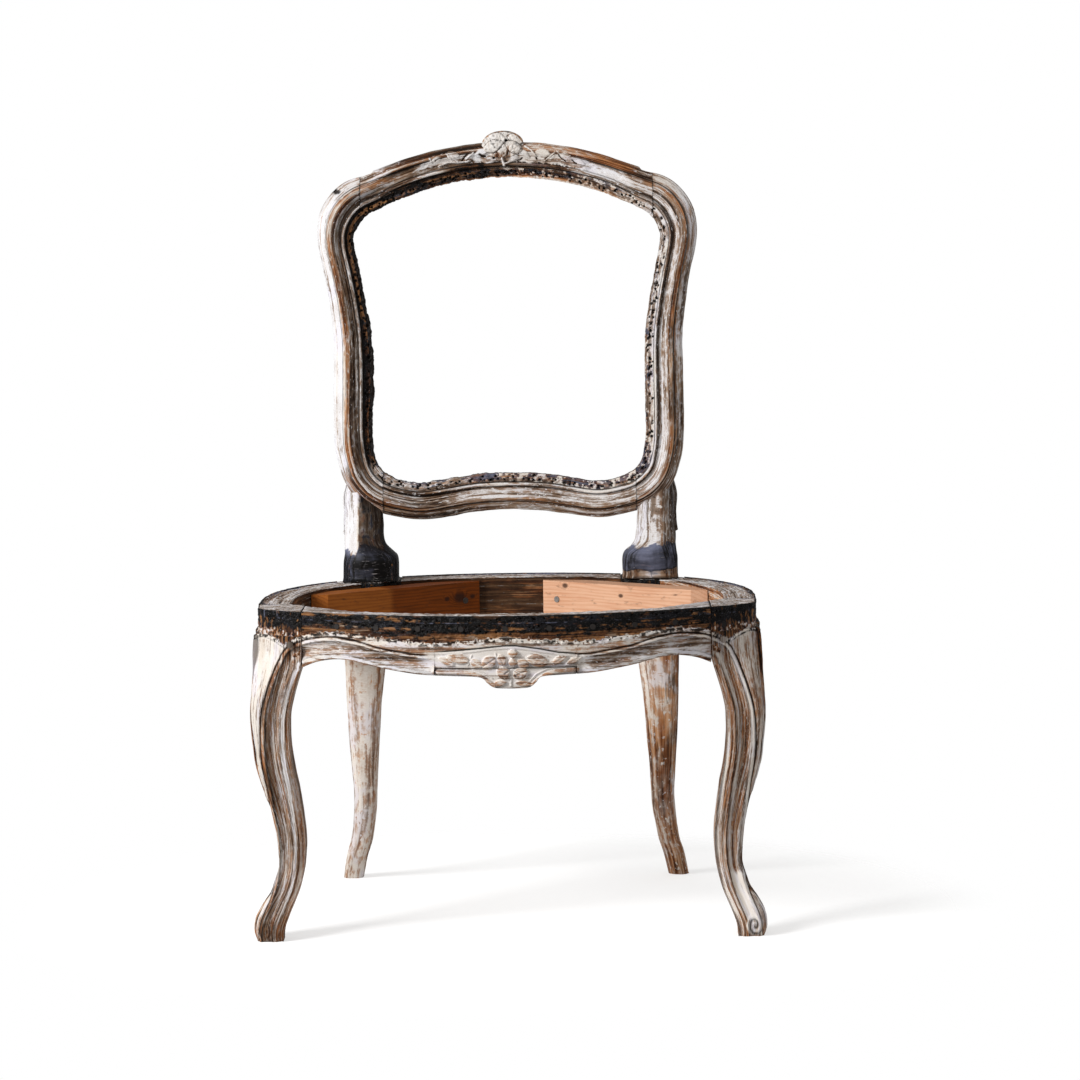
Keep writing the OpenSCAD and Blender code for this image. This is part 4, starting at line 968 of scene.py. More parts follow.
APRON_LINES = [
    ([(-84, 320), (-66, 320.4), (-52, 320.8), (-37, 322.4), (-18, 324.8), (0, 326), (10, 326), (24, 324.4),
      (37, 321.8), (56, 318.4), (72, 316.2), (90, 314.8)], 1.6, 1.3),
    ([(-76, 300.6), (-58, 300.4), (-45, 300), (-35, 298.8), (-26, 295.4), (-18, 290), (-12, 286)], 2.6, 3.6),
    ([(28.5, 286), (34, 291), (42, 296.5), (52, 299.6), (64, 301), (76, 301.4)], 2.6, 3.6),
    ([(-36, 304.4), (-24, 300), (-14, 293.5)], 0.9, 1.2),
    ([(26, 291), (33, 298), (44, 303), (60, 304)], 0.9, 1.2),
    ([(5.7, 297.5), (5.5, 286)], 1.4, 1.4), ([(-10.5, 320), (-8.5, 306)], 1.0, 1.2),
    ([(-36, 318), (-40, 308)], 0.9, 1.2)]
# Stamens fan out from one place
for end in ((3.2, 295.5), (11.4, 295.5), (15.6, 298.6), (-1.4, 298.6)):
    APRON_LINES.append(([(7, 303.8), end], 0.7, 1.2))


def apron_relief(x, z):
    """Height of the carving in millimetres, where its ground lies, and the cut line above it."""
    u, v = x * 1000, z * 1000
    near = np.abs(u) < 104
    h = np.zeros(np.shape(u))
    un, vn = u[near], v[near]
    hn = np.zeros(un.shape)
    for leaf in APRON_LEAVES:
        hn = np.maximum(hn, raised_leaf(un, vn, *leaf))
    for points, half_width, height in APRON_LINES:
        line = raised_line(un, vn, points, half_width, height)
        hn = np.maximum(hn, line) if height > 2 else np.where(line > 0, np.maximum(line, hn * 0.35), hn)
    h[near] = hn
    top = np.interp(u, [-84, -66, -37, 0, 10, 37, 56, 90], [321.6, 322, 324.4, 328, 328, 324, 320, 316.5])
    ground = smooth(-98, -68, u) * (1 - smooth(74, 102, u)) * smooth(0, 0.8, top - v)
    line = hump(v - top, 0.4, 0.9) * smooth(-84, -60, u) * (1 - smooth(66, 90, u))
    return h, ground, line


# Petals of the crest's flower: place, half length, half width, angle and height, from under to over
PETALS = [((-4, 850.5), 8.5, 6.5, 80, 5.2), ((2, 868.5), 11, 5.6, 4, 5.4), ((-10, 866), 12.5, 6.4, -20, 6.4),
          ((12, 864.5), 11.5, 6.4, -16, 6.6), ((-15, 856), 13.5, 7.4, 22, 7.6),
          ((9.5, 854.5), 12.5, 7.0, -32, 7.8)]


def crest_flower():
    """Domed flower of overlapping petals round a small hollow, which looks up and forward."""
    eye = np.array([0.3, 862.6])
    middle = np.array([-3.6, 858.2])
    half = np.array([24.4, 15.8])
    count, rows = 260, 76
    a = np.arange(count) * 2 * np.pi / count
    way = np.stack([np.sin(a), np.cos(a)], 1)
    start = (eye - middle) / half
    d = way / half
    along, offset, size = (d * start).sum(1), (start * start).sum(), (d * d).sum(1)
    reach = (-along + np.sqrt(along ** 2 - size * (offset - 1))) / size
    reach = reach * (0.975 + 0.05 * noise(np.column_stack([way, 0 * a]), (2.2, 2.2, 1), 4))
    t = np.linspace(0, 1, rows)[:, None] + 0 * a
    u = eye[0] + t * reach * way[:, 0]
    v = eye[1] + t * reach * way[:, 1]
    ball = np.hypot((u - middle[0]) / half[0], (v - middle[1]) / half[1])
    dome = 3.6 * np.sqrt(np.clip(1.03 - ball ** 2, 0, 1)) - 1.0
    h = np.zeros_like(t)
    under = np.zeros_like(t)
    for place, half_length, half_width, angle, height in PETALS:
        petal = raised_leaf(u, v, place, half_length, half_width, angle, 1.0)
        rise = height * (0.35 + 0.65 * petal) * (petal > 0)
        over = petal > 0.02
        under = np.where(over, smooth(0.30, 0.05, petal), under)
        h = np.where(over, np.maximum(rise, h * 0.70), h)
    h = dome + 0.54 * h
    r = np.hypot(u - eye[0], (v - eye[1]) * 1.2)
    h = h + 1.0 * hump(r, 3.0, 1.0) - 3.4 * (1 - smooth(0.8, 2.0, r))
    flat = np.stack([u, v, 0 * u], -1)
    h = h + swing(flat, (0.4, 0.4, 1), 3) * 2.2
    x, z = u * MM, v * MM
    y = back_y(x, z) + 0.0010 - h * MM
    y = np.vstack([y, back_y(x, z)[-1:] + 0.005, back_y(x, z)[-1:] + 0.012])
    x, z = np.vstack([x, x[-1:], x[-1:]]), np.vstack([z, z[-1:], z[-1:]])
    shell = np.stack([x, y, z], -1)[1:]
    spot = np.stack([z * 0.35, x * 0.30, np.full_like(x, 9.0)], -1)[1:]
    # Painted shade in the creases under the petals and in the hollow: less paint and more dark there
    hole = 1 - smooth(0.8, 2.2, r)
    crease = np.maximum(under, 1.3 * hole)
    b = swing(flat, (0.20, 0.20, 1), 8)
    low = smooth(853, 846, v)
    rim = smooth(0.86, 0.95, ball) * smooth(858, 864, v)
    paint = 0.94 - 0.75 * crease + 1.1 * b - 0.40 * low - 0.75 * rim
    dark = 0.13 + 0.7 * np.abs(b) + 0.32 * crease + 0.9 * hole + 0.3 * smooth(0.12, 0.2, b)
    zones = np.stack([0 * t, paint, 0.7 + 0 * t, dark], -1)
    zones = np.concatenate([zones, zones[-1:], zones[-1:]], 0)[1:]
    return closed_shell(shell, spot, zones)


# Front legs

def leg_outline(cut):
    """Section of a front leg inside a box from -1 to 1, with its outward directions."""
    def run_between(start, end, count, way):
        line = np.column_stack([np.linspace(start[0], end[0], count), np.linspace(start[1], end[1], count)])
        return line, np.tile(way, (count, 1))

    p0, p2 = np.array([0.42 - 0.3 * cut, -1]), np.array([1, -0.42 + 0.3 * cut])
    middle = np.array([0.82 - 0.16 * cut, -0.82 + 0.16 * cut])
    ctrl = 2 * middle - 0.5 * (p0 + p2)
    q = np.linspace(0, 1, 26)[1:-1, None]
    corner = (1 - q) ** 2 * p0 + 2 * q * (1 - q) * ctrl + q ** 2 * p2
    corner_way = np.column_stack([np.sin(q * np.pi / 2), -np.cos(q * np.pi / 2)])
    turn = np.linspace(0, np.pi / 2, 7)[1:-1]
    rounded = np.column_stack([-0.80 - 0.2 * np.sin(turn), 0.80 + 0.2 * np.cos(turn)])
    stretches = [run_between((-0.955, -1), p0, 64, [0, -1]), (corner, corner_way),
                 run_between(p2, (1, 0.955), 40, [1, 0]), run_between((0.955, 1), (-0.80, 1), 26, [0, 1]),
                 (rounded, np.tile([-0.7, 0.7], (len(turn), 1))),
                 run_between((-1, 0.80), (-1, -0.955), 34, [-1, 0])]
    return [np.vstack(both) for both in zip(*stretches)]


def front_leg_shell(side):
    bevel = 331
    z = np.concatenate([np.linspace(0, 40, 34), np.arange(41.3, bevel, 1.3), [331.2, 331.9, 332.3]])
    stations = spline(FRONT_LEG, np.interp(z, FRONT_LEG[:, 0], np.arange(len(FRONT_LEG))))
    shell, facing = [], []
    for zz, s in zip(z, stations):
        ring, face = leg_outline(min(1, max(0, s[3] / 16)))
        x0, x1 = LEG_CORNER_X + s[2] * MM, LEG_CORNER_X + s[1] * MM
        y0, y1 = LEG_CORNER_Y - (s[1] + s[3]) * MM, LEG_CORNER_Y - (s[2] - s[3]) * MM
        in_by = max(0, zz - bevel) * 0.0006
        x1, y0, y1 = x1 - in_by, y0 + in_by, y1 - in_by
        x = (x0 + x1) / 2 + ring[:, 0] * (x1 - x0) / 2
        y = (y0 + y1) / 2 + ring[:, 1] * (y1 - y0) / 2
        # Towards the top the front face comes back to the bow of the rail
        top = smooth(270, 318, zz)
        bowed = np.maximum(y, bow_y(np.minimum(x, HALF_SEAT - 0.004)))
        y = np.where(face[:, 1] < -0.05, mix(y, bowed, top), y)
        shell.append(np.column_stack([x, y, np.full(len(x), zz * MM)]))
        facing.append(face)
    shell, facing = np.array(shell), np.array(facing)
    x, y, zm = shell[..., 0], shell[..., 1], shell[..., 2]
    front_depth, front_place = carve(x, zm)
    side_x = LEG_CORNER_X - (y - LEG_CORNER_Y) * mix(1.0, 52 / 69, smooth(0.22, 0.32, zm))
    side_depth, side_place = carve(side_x, zm)
    front_part = np.clip(-facing[..., 1], 0, 1)
    side_part = np.clip(facing[..., 0], 0, 1)
    on_side = side_part > 0.93
    run = travel(shell.mean(1))[:, None]
    girth = np.arange(shell.shape[1]) * 0.0011 + 0 * run
    spot = np.stack([run + 0 * girth, girth, 0 * girth + 2.0 + 5 * side], -1)
    a = swing(spot, (22, 80, 1), 41)
    fibre = noise(spot, (42, 1000, 1), 44) - 0.5
    curl, curl_dark = toe_scroll(x, zm)
    curl = curl * (facing[..., 1] < -0.5)
    texture = (0.0004 * fibre + 0.0018 * a) * smooth(0.0, 0.006, zm)
    depth = mix(front_depth, side_depth, smooth(0.85, 0.99, side_part)) + texture
    across_x = np.where(on_side, side_x, x)
    place = np.where(on_side, side_place, front_place)
    edge = np.interp(across_x, *LEG_TOP.T)
    cut_in = smooth(edge - 0.0006, edge + 0.0006, zm + 0.005 * a)
    depth = depth + 0.0012 * cut_in + 0.0005 * hump(zm, edge - 0.0042, 0.0008) * (place > 1.1)
    shell[..., 1] += depth * front_part - curl
    shell[..., 0] -= depth * side_part
    shell[..., 0] += texture * (facing[..., 0] < -0.5)
    zones = np.stack(front_zones(across_x, zm, place, spot, side), -1)
    hidden = (facing[..., 1] > 0.05) | (facing[..., 0] < -0.5)
    zones[..., 1] = np.where(hidden, 0.25 + 1.2 * a, zones[..., 1])
    zones[..., 2] = np.where(hidden, 0.62 + a, zones[..., 2])
    zones[..., 3] = np.where(hidden, 0.10, zones[..., 3])
    toe = smooth(0.034, 0.016, zm + 0.010 * a)
    if side > 0:
        # Tar has run down the outer side under the band
        run_down = smooth(0.86, 0.95, side_part) * smooth(0.20, 0.31, zm + 0.05 * a)
        zones[..., 0] += (0.62 + 2.0 * a) * run_down
        zones[..., 1] *= 1 - 0.85 * run_down
        patch = (facing[..., 1] < -0.5) * smooth(0.20, 0.26, place) * (1 - smooth(0.82, 0.88, place))
        patch = patch * smooth(0.014, 0.020, zm) * (1 - smooth(0.062, 0.070, zm))
        zones[..., 1] = mix(zones[..., 1] * (1 - 0.4 * toe), 1.0, np.maximum(patch, 0.8 * curl / 0.0023))
        zones[..., 3] = zones[..., 3] * (1 - patch)
    else:
        zones[..., 1] *= 1 - 0.45 * toe
        zones[..., 3] += 0.08 * toe
        zones[..., 1] -= 0.1 * smooth(0.0007, 0.0016, curl)
    # Painted shade in the grooves of the toe's curl
    curl_dark = curl_dark * (facing[..., 1] < -0.5)
    zones[..., 3] = np.maximum(zones[..., 3], (0.6 if side > 0 else 0.25) * curl_dark)
    zones[..., 0] = np.where(hidden, 0.04, zones[..., 0])
    return closed_shell(shell, spot, zones)


def front_leg(side):
    plan = [(x, bow_y(x, BAND_T)) for x in np.linspace(FRONT_SEAM_X, 0.264, 10)]
    plan += [(0.2690, bow_y(0.268) + 0.012), (HALF_SEAT - BAND_T, SIDE_SEAM_Y),
             (HALF_SEAT - SIDE_RAIL_T, SIDE_SEAM_Y), (FRONT_SEAM_X, POST_INNER_Y)]
    return join(front_leg_shell(side), seat_post(plan, 0.308, SEAT_H, 7, side))


# Materials

def linear(colour):
    v = np.array([int(colour[i:i + 2], 16) for i in (1, 3, 5)]) / 255
    return tuple(np.where(v <= 0.04045, v / 12.92, ((v + 0.055) / 1.055) ** 2.4)) + (1.0,)


class Net:
    """Short names for the nodes of a material or a group."""

    def __init__(self, tree):
        self.tree = tree

    def node(self, kind, inputs=(), **settings):
        """New node, with a link or a value for each of the inputs given by name or number."""
        n = self.tree.nodes.new(kind)
        for key, value in settings.items():
            setattr(n, key, value)
        for key, value in dict(inputs).items():
            self.put(n.inputs[key], value)
        return n

    def put(self, socket, value):
        if isinstance(value, bpy.types.NodeSocket):
            self.tree.links.new(value, socket)
        else:
            socket.default_value = linear(value) if isinstance(value, str) else value

    def math(self, op, *values, clamp=False):
        return self.node("ShaderNodeMath", enumerate(values), operation=op, use_clamp=clamp).outputs[0]

    def add(self, a, b):
        return self.math("ADD", a, b)

    def times(self, a, b):
        return self.math("MULTIPLY", a, b)

    def weigh(self, a, share_a, b, share_b):
        return self.add(self.times(a, share_a), self.times(b, share_b))

    def swing(self, value, reach):
        """A value from 0 to 1 made to go either side of 0."""
        return self.times(self.add(value, -0.5), reach)

    def step(self, value, low, high, to_low=0.0, to_high=1.0):
        inputs = {"Value": value, "From Min": low, "From Max": high, "To Min": to_low, "To Max": to_high}
        return self.node("ShaderNodeMapRange", inputs, interpolation_type="SMOOTHSTEP").outputs["Result"]

    def blend(self, share, a, b):
        return self.node("ShaderNodeMix", {0: share, 6: a, 7: b}, data_type="RGBA").outputs[2]

    def ramp(self, value, stops):
        n = self.node("ShaderNodeValToRGB", {0: value})
        elements = n.color_ramp.elements
        while len(elements) < len(stops):
            elements.new(0.5)
        for e, (place, colour) in zip(elements, stops):
            e.position = place
            e.color = linear(colour)
        return n.outputs[0]

    def scaled(self, vector, scale):
        return self.node("ShaderNodeVectorMath", {0: vector, 1: scale}, operation="MULTIPLY").outputs[0]

    def noise(self, vector, scale, detail, roughness=0.55):
        inputs = {"Vector": vector, "Scale": scale, "Detail": detail, "Roughness": roughness}
        return self.node("ShaderNodeTexNoise", inputs).outputs[0]

    def pattern(self, vector, scale, detail, roughness=0.55):
        """Noise with its own scale along each axis."""
        return self.noise(self.scaled(vector, scale), 1, detail, roughness)

    def axes(self, vector):
        return self.node("ShaderNodeSeparateXYZ", {0: vector}).outputs


def group(name, inputs, outputs):
    tree = bpy.data.node_groups.new(name, "ShaderNodeTree")
    for label, kind in inputs:
        tree.interface.new_socket(label, in_out="INPUT", socket_type=kind)
    for label, kind in outputs:
        tree.interface.new_socket(label, in_out="OUTPUT", socket_type=kind)
    net = Net(tree)
    given = net.node("NodeGroupInput").outputs
    return net, [given[label] for label, _ in inputs], net.node("NodeGroupOutput").inputs


F, V, C = "NodeSocketFloat", "NodeSocketVector", "NodeSocketColor"
FINISH = [("Color", C), ("Roughness", F), ("Height", F)]


def worn_finish():
    """Old wood with chalky paint left in places, black tar in others, and its hollows darkened by soiling and
    painted shade.
    """
    inputs = [("Grain", V), ("Tar", F), ("Paint", F), ("Bare", F), ("Dirt and shade", F)]
    net, (grain, tar_share, paint_share, bare_share, dirt_and_shade_share), out = group("Worn finish", inputs, FINISH)
    fibres = net.pattern(grain, (16, 760, 1), 3)
    streaks = net.pattern(grain, (7, 240, 1), 4, 0.52)
    clouds = net.pattern(grain, (22, 70, 1), 4)
    flakes = net.pattern(grain, (95, 330, 1), 5, 0.62)
    specks = net.pattern(grain, (900, 1500, 1), 3, 0.6)
    lines = net.pattern(grain, (16, 520, 1), 2)
    chips = net.pattern(grain, (190, 600, 1), 3, 0.6)
    scabs = net.pattern(grain, (85, 170, 1), 5, 0.66)

    # Brown old wood, fresher and orange where it is bare, with patches of grime that also take the painted
    # shade, and weathered grey
    tone = net.step(net.weigh(streaks, 0.6, fibres, 0.4), 0.37, 0.63)
    bare = net.step(net.add(bare_share, net.swing(clouds, 1.6)), 0.35, 0.85)
    brown = net.ramp(tone, [(0.0, "#1d130d"), (0.28, "#402a1c"), (0.55, "#70543e"), (0.8, "#967e69"),
                            (1.0, "#b8a697")])
    orange = net.ramp(tone, [(0.0, "#3d2010"), (0.3, "#7f4b28"), (0.6, "#b0774a"), (1.0, "#d6a880")])
    wood = net.blend(bare, brown, orange)
    grime_and_shade = net.add(net.weigh(clouds, 0.5, streaks, 0.5), net.times(net.add(dirt_and_shade_share, -0.16), 0.45))
    wood = net.blend(net.step(grime_and_shade, 0.50, 0.61, 0.0, 0.82), wood, "#22160d")
    grey = net.step(net.weigh(flakes, 0.6, streaks, 0.4), 0.50, 0.62, 0.0, 0.42)
    wood = net.blend(net.times(grey, net.step(bare_share, 1.0, 0.92)), wood, "#a0978f")

    # Chalk paint, creamy over bare wood and lilac in patches
    chalk = net.ramp(net.weigh(clouds, 0.5, specks, 0.5),
                     [(0.34, "#c0b6b0"), (0.43, "#d5d1d0"), (0.53, "#e6e6e9"), (0.68, "#f6f7fa")])
    chalk = net.blend(net.step(bare_share, 0.45, 0.85, 0.0, 0.42), chalk, "#dccdb4")
    chalk = net.blend(net.step(clouds, 0.52, 0.60, 0.0, 0.45), chalk, "#cfc9d6")

    # The paint thins out in a haze, with flecks beyond its edge, bites out of it and open cracks
    edge = net.add(net.swing(flakes, 1.9), net.swing(streaks, 2.0))
    edge = net.add(edge, net.swing(fibres, 1.5))
    paint = net.step(net.add(paint_share, edge), 0.36, 0.74)
    paint = net.times(paint, net.step(paint_share, 0.15, 0.85, 0.72, 1.0))
    half_edge = net.add(paint_share, net.times(edge, 0.5))
    haze = net.times(net.step(half_edge, 0.08, 0.60, 0.0, 0.50), net.step(paint_share, 0.0, 0.10))
    colour = net.blend(haze, wood, net.blend(net.step(clouds, 0.40, 0.62), "#b59a84", "#c4b8ac"))
    flecks = net.times(net.step(chips, 0.40, 0.34, 0.0, 0.90), net.step(paint_share, 0.08, 0.30))
    colour = net.blend(net.math("MAXIMUM", net.times(paint, 0.94), flecks), colour, chalk)
    bites = net.times(net.step(chips, 0.60, 0.66, 0.0, 0.75), net.step(paint_share, 1.0, 0.70))
    colour = net.blend(bites, colour, wood)
    crack = net.step(net.math("ABSOLUTE", net.add(lines, -0.5)), 0.0, 0.018, 0.65, 0.0)
    crack = net.times(crack, net.step(paint_share, 0.50, 0.32))
    colour = net.blend(crack, colour, "#1a120d")

    # Tar with bluish patches of painted sheen, worn through to the wood, with a film of old paint, dust and
    # painted sheen on it
    tar_edge = net.add(net.times(edge, 0.40), net.swing(clouds, 1.2))
    tar = net.step(net.add(tar_share, tar_edge), 0.42, 0.55)
    black = net.ramp(specks, [(0.35, "#030303"), (0.55, "#0b0908"), (0.75, "#232022")])
    # Bluish patches: painted sheen on the tar
    black = net.blend(net.step(clouds, 0.52, 0.62, 0.0, 0.7), black, "#18191f")
    worn = net.add(net.weigh(scabs, 0.7, streaks, 0.3), net.swing(bare_share, 0.20))
    worn_wood = net.ramp(tone, [(0.1, "#2a1710"), (0.5, "#5c3820"), (0.9, "#95683f")])
    black = net.blend(net.step(worn, 0.485, 0.575, 0.0, 0.85), black, worn_wood)
    # Film of old paint and dust, bluish grey partly as painted sheen
    black = net.blend(net.step(half_edge, 0.15, 0.90, 0.0, 0.70), black, "#8488a0")
    black = net.blend(net.step(specks, 0.62, 0.70, 0.0, 0.6), black, "#a8a3a3")
    colour = net.blend(tar, colour, black)

    # Darker still where the zones carry dirt and painted shade
    dirt_and_shade = net.step(net.add(dirt_and_shade_share, net.swing(flakes, 0.7)), 0.08, 0.92)
    net.put(out["Color"], net.blend(net.times(dirt_and_shade, 0.95), colour, "#140d09"))
    rough = net.add(net.times(paint, 0.20), net.add(0.58, net.swing(fibres, 0.3)))
    net.put(out["Roughness"], net.add(rough, net.times(tar, -0.10)))
    height = net.add(net.weigh(fibres, 0.5, specks, 0.3), net.times(paint, 0.5))
    net.put(out["Height"], net.add(net.add(height, net.times(crack, -0.8)), net.times(tar, 0.30)))
    return net.tree


def pine():
    """Raw pine with growth lines along X, and dark knots where its mask says."""
    inputs = [("Place", V), ("Light", C), ("Deep", C), ("Knot", F)]
    net, (place, light, deep, knot), out = group("Raw pine", inputs, FINISH)
    sway = net.pattern(place, (5, 22, 22), 2)
    axes = net.axes(place)
    rings = net.weigh(net.add(axes[2], net.times(axes[1], 0.6)), 1500, sway, 30)
    line = net.step(net.math("SINE", net.add(rings, net.times(knot, 16))), -0.6, 1.0)
    fibres = net.pattern(place, (26, 1500, 1500), 4, 0.6)
    clouds = net.pattern(place, (18, 60, 60), 3)
    share = net.add(net.swing(fibres, 1.6), net.times(net.add(clouds, -0.2), 0.9))
    share = net.add(net.times(line, 0.30), share)
    colour = net.blend(net.math("ADD", share, -0.12, clamp=True), light, deep)
    colour = net.blend(net.step(knot, 0.35, 1.0, 0.0, 0.85), colour, "#2b1710")
    dark_patch = net.pattern(place, (60, 160, 160), 5, 0.65)
    net.put(out["Color"], net.blend(net.step(dark_patch, 0.56, 0.72, 0.0, 0.7), colour, "#4a2c1b"))
    net.put(out["Roughness"], net.add(0.62, net.times(fibres, 0.25)))
    net.put(out["Height"], net.add(net.times(line, -0.3), fibres))
    return net.tree


def material(name):
    mat = bpy.data.materials.new(name)
    mat.use_nodes = True
    mat.node_tree.nodes.clear()
    return mat, Net(mat.node_tree)


def finish_shader(net, source, bump, distance, metallic=0.0, shine=0.5):
    relief = net.node("ShaderNodeBump", {"Strength": bump, "Distance": distance, "Height": source["Height"]})
    shader = net.node("ShaderNodeBsdfPrincipled", {
        "Base Color": source["Color"], "Roughness": source["Roughness"], "Metallic": metallic,
        "Specular IOR Level": shine, "Normal": relief.outputs[0]})
    net.node("ShaderNodeOutputMaterial", {"Surface": shader.outputs[0]})


def old_wood(tree):
    mat, net = material("Old painted wood")
    grain = net.node("ShaderNodeAttribute", attribute_name="grain").outputs["Vector"]
    zones = net.node("ShaderNodeAttribute", attribute_name="zones").outputs
    tar, paint, bare = net.node("ShaderNodeSeparateColor", {0: zones["Color"]}).outputs
    inputs = {"Grain": grain, "Tar": tar, "Paint": paint, "Bare": bare, "Dirt and shade": zones["Alpha"]}
    finish = net.node("ShaderNodeGroup", inputs, node_tree=tree)
    finish_shader(net, finish.outputs, 0.6, 0.0010, shine=0.12)
    return mat


def peg_finish(tree):
    """Peg ends worn and painted like the wood round them: tarred in the band, bare below it."""
    mat, net = material("Peg ends")
    place = net.node("ShaderNodeTexCoord").outputs["Object"]
    tar = net.step(net.axes(place)[2], 0.331, 0.333, 0.0, 0.9)
    inputs = {"Grain": place, "Tar": tar, "Paint": 0.0, "Bare": 0.35, "Dirt and shade": 0.30}
    finish = net.node("ShaderNodeGroup", inputs, node_tree=tree)
    finish_shader(net, finish.outputs, 0.5, 0.0008, shine=0.30)
    return mat


# Rear end of the right corner board and its turn in plan; the left board is its mirror image
BOARD_REAR_Y = SIDE_MID_Y + REAR_REACH - 0.046
BOARD_REAR = (REAR_SEAM_X - 0.090, BOARD_REAR_Y - MID_Y)
BOARD_ANGLE = math.atan2(POST_FRONT_Y - 0.090 - BOARD_REAR_Y, HALF_SEAT - 0.058 - BOARD_REAR[0])


def board_wood(name, tree, side, light, deep, knots, lit_colours=None):
    """Pine running along one of the corner boards, whose knots are (along, height, radius)."""
    mat, net = material(name)
    inputs = {0: net.node("ShaderNodeTexCoord").outputs["Object"],
              "Location": (side * BOARD_REAR[0], BOARD_REAR[1], 0),
              "Rotation": (0, 0, BOARD_ANGLE if side > 0 else math.pi - BOARD_ANGLE)}
    place = net.node("ShaderNodeMapping", inputs, vector_type="TEXTURE").outputs[0]
    mask = None
    for along, height, radius in knots:
        inputs = {0: net.scaled(place, (0.7, 0.6, 1)), 1: (along * 0.7, 0, height)}
        away = net.node("ShaderNodeVectorMath", inputs, operation="DISTANCE").outputs["Value"]
        near = net.step(away, radius * 0.4, radius * 2.6, 1.0, 0.0)
        mask = net.math("MAXIMUM", mask, near) if mask else near
    if lit_colours:
        # Painted light and shadow: the part towards the side rail gets lighter colours as painted light, the
        # rest stays darker as the painted shadow of the stile's block
        share = net.step(net.axes(place)[0], 0.118, 0.128)
        light, deep = (net.blend(share, shaded_colour, lit_colour) for shaded_colour, lit_colour in zip((light, deep), lit_colours))
    inputs = {"Place": place, "Light": light, "Deep": deep, "Knot": mask}
    finish_shader(net, net.node("ShaderNodeGroup", inputs, node_tree=tree).outputs, 0.3, 0.0004, shine=0.15)
    return mat


def iron(name, dark, light, roughness, metallic, dark_patch=None):
    """Old iron in two tones; the last argument is a colour of painted shade laid over the chair's left side,
    where the nails lie in shadow.
    """
    mat, net = material(name)
    place = net.node("ShaderNodeTexCoord").outputs["Object"]
    grains = net.noise(place, 1400, 5, 0.65)
    marks = net.noise(place, 1400 * 0.22, 3)
    colour = net.ramp(net.weigh(grains, 0.6, marks, 0.4), [(0.36, dark), (0.64, light)])
    # Painted shade over the nails on the left side
    if dark_patch:
        colour = net.blend(net.step(net.axes(place)[0], 0.0, -0.01, 0.0, 0.8), colour, dark_patch)
    rough = net.add(roughness - 0.12, net.times(grains, 0.28))
    finish_shader(net, {"Color": colour, "Roughness": rough, "Height": grains}, 0.5, 0.0004, metallic)
    return mat


finish_tree = worn_finish()
pine_tree = pine()
OLD_WOOD = old_wood(finish_tree)
# The left board's dark amber is partly painted shade, as it lies in the shadow of the rail and leg
AMBER_PINE = board_wood("Amber pine", pine_tree, -1, "#7c3c0a", "#2f1404",
                        [(0.028, 0.338, 0.0045), (0.046, 0.3375, 0.002), (0.010, 0.338, 0.002)],
                        ("#a05c22", "#6b3510"))
PALE_PINE = board_wood("Pinkish pine", pine_tree, 1, "#dbae8f", "#b97a55",
                       [(0.032, 0.3505, 0.0022), (0.112, 0.343, 0.0018)])
PEG_OAK = peg_finish(finish_tree)
RUSTY_IRON = iron("Rusty iron", "#080706", "#261d19", 0.75, 0.0)
GREY_IRON = iron("Grey nails", "#4b4542", "#9a948f", 0.5, 0.5, "#1c0f07")


# Pieces

def add_object(name, data):
    obj = bpy.data.objects.new(name, data)
    bpy.context.scene.collection.objects.link(obj)
    return obj


def dress(node, part, mirror=False):
    """Mesh in a node's place, with its grain directions and its zones kept on its points."""
    name = node + "_looks"
    points, faces, grain, zones = mirrored(part) if mirror else part
    points = np.clip(points - [0, MID_Y, 0], cad_low, cad_high)
    mesh = bpy.data.meshes.new(name)
    mesh.from_pydata(points.tolist(), [], faces)
    mesh.update()
    layer = mesh.attributes.new("grain", "FLOAT_VECTOR", "POINT")
    layer.data.foreach_set("vector", np.asarray(grain, np.float32).ravel())
    layer = mesh.attributes.new("zones", "FLOAT_COLOR", "POINT")
    layer.data.foreach_set("color", np.clip(np.asarray(zones, np.float32), 0, 1).ravel())
    mesh.polygons.foreach_set("use_smooth", [True] * len(mesh.polygons))
    mesh.materials.append(OLD_WOOD)
    obj = add_object(name, mesh)
    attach(obj, "root")
    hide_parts(node)


def seams(x):
    """Cuts at both ends of a rail across the back."""
    return [(x, False, 0.0, 2.0), (-x, False, 0.0, 2.0)]


crest = back_member(-5.0, 5.0, 0.5, seams(CREST_SEAM_X), relief=crest_relief)
dress("crest_rail", join(crest, crest_flower()))
dress("lower_back_rail", back_member(13.0, 25.0, 5.5, seams(LOW_SEAM_X)))
for side, label in ((1, "right"), (-1, "left")):
    dress("rear_leg_" + label, rear_leg(side), side < 0)
    dress("front_leg_" + label, front_leg(side), side < 0)

# The front rail has finer rows at its carving and a pair of them at each end of the pendant
end_x, carved_x = FRONT_SEAM_X - 0.0002, 0.092
step_x = np.array([-0.00002, 0.00002])
x = np.concatenate([np.arange(-end_x, -carved_x, 0.0012), np.arange(-carved_x, carved_x, 0.00062),
                    np.arange(carved_x, end_x, 0.0012), [end_x], step_x - PENDANT_X, step_x + PENDANT_X])
x.sort()
foot = np.where(np.abs(x) < PENDANT_X, GLUE_Z, under_edge(x))
rail = rail_shell(*front_rail_pairs(x), foot, SEAT_H, 1.0, True, 84)
dress("front_seat_rail", rail)
x = np.arange(-PENDANT_X + 0.0004, PENDANT_X - 0.0003, 0.0006)
strip = rail_shell(*front_rail_pairs(x), under_edge(x), GLUE_Z - 0.0003, 8.0, True, 40)
dress("apron_pendant", strip)

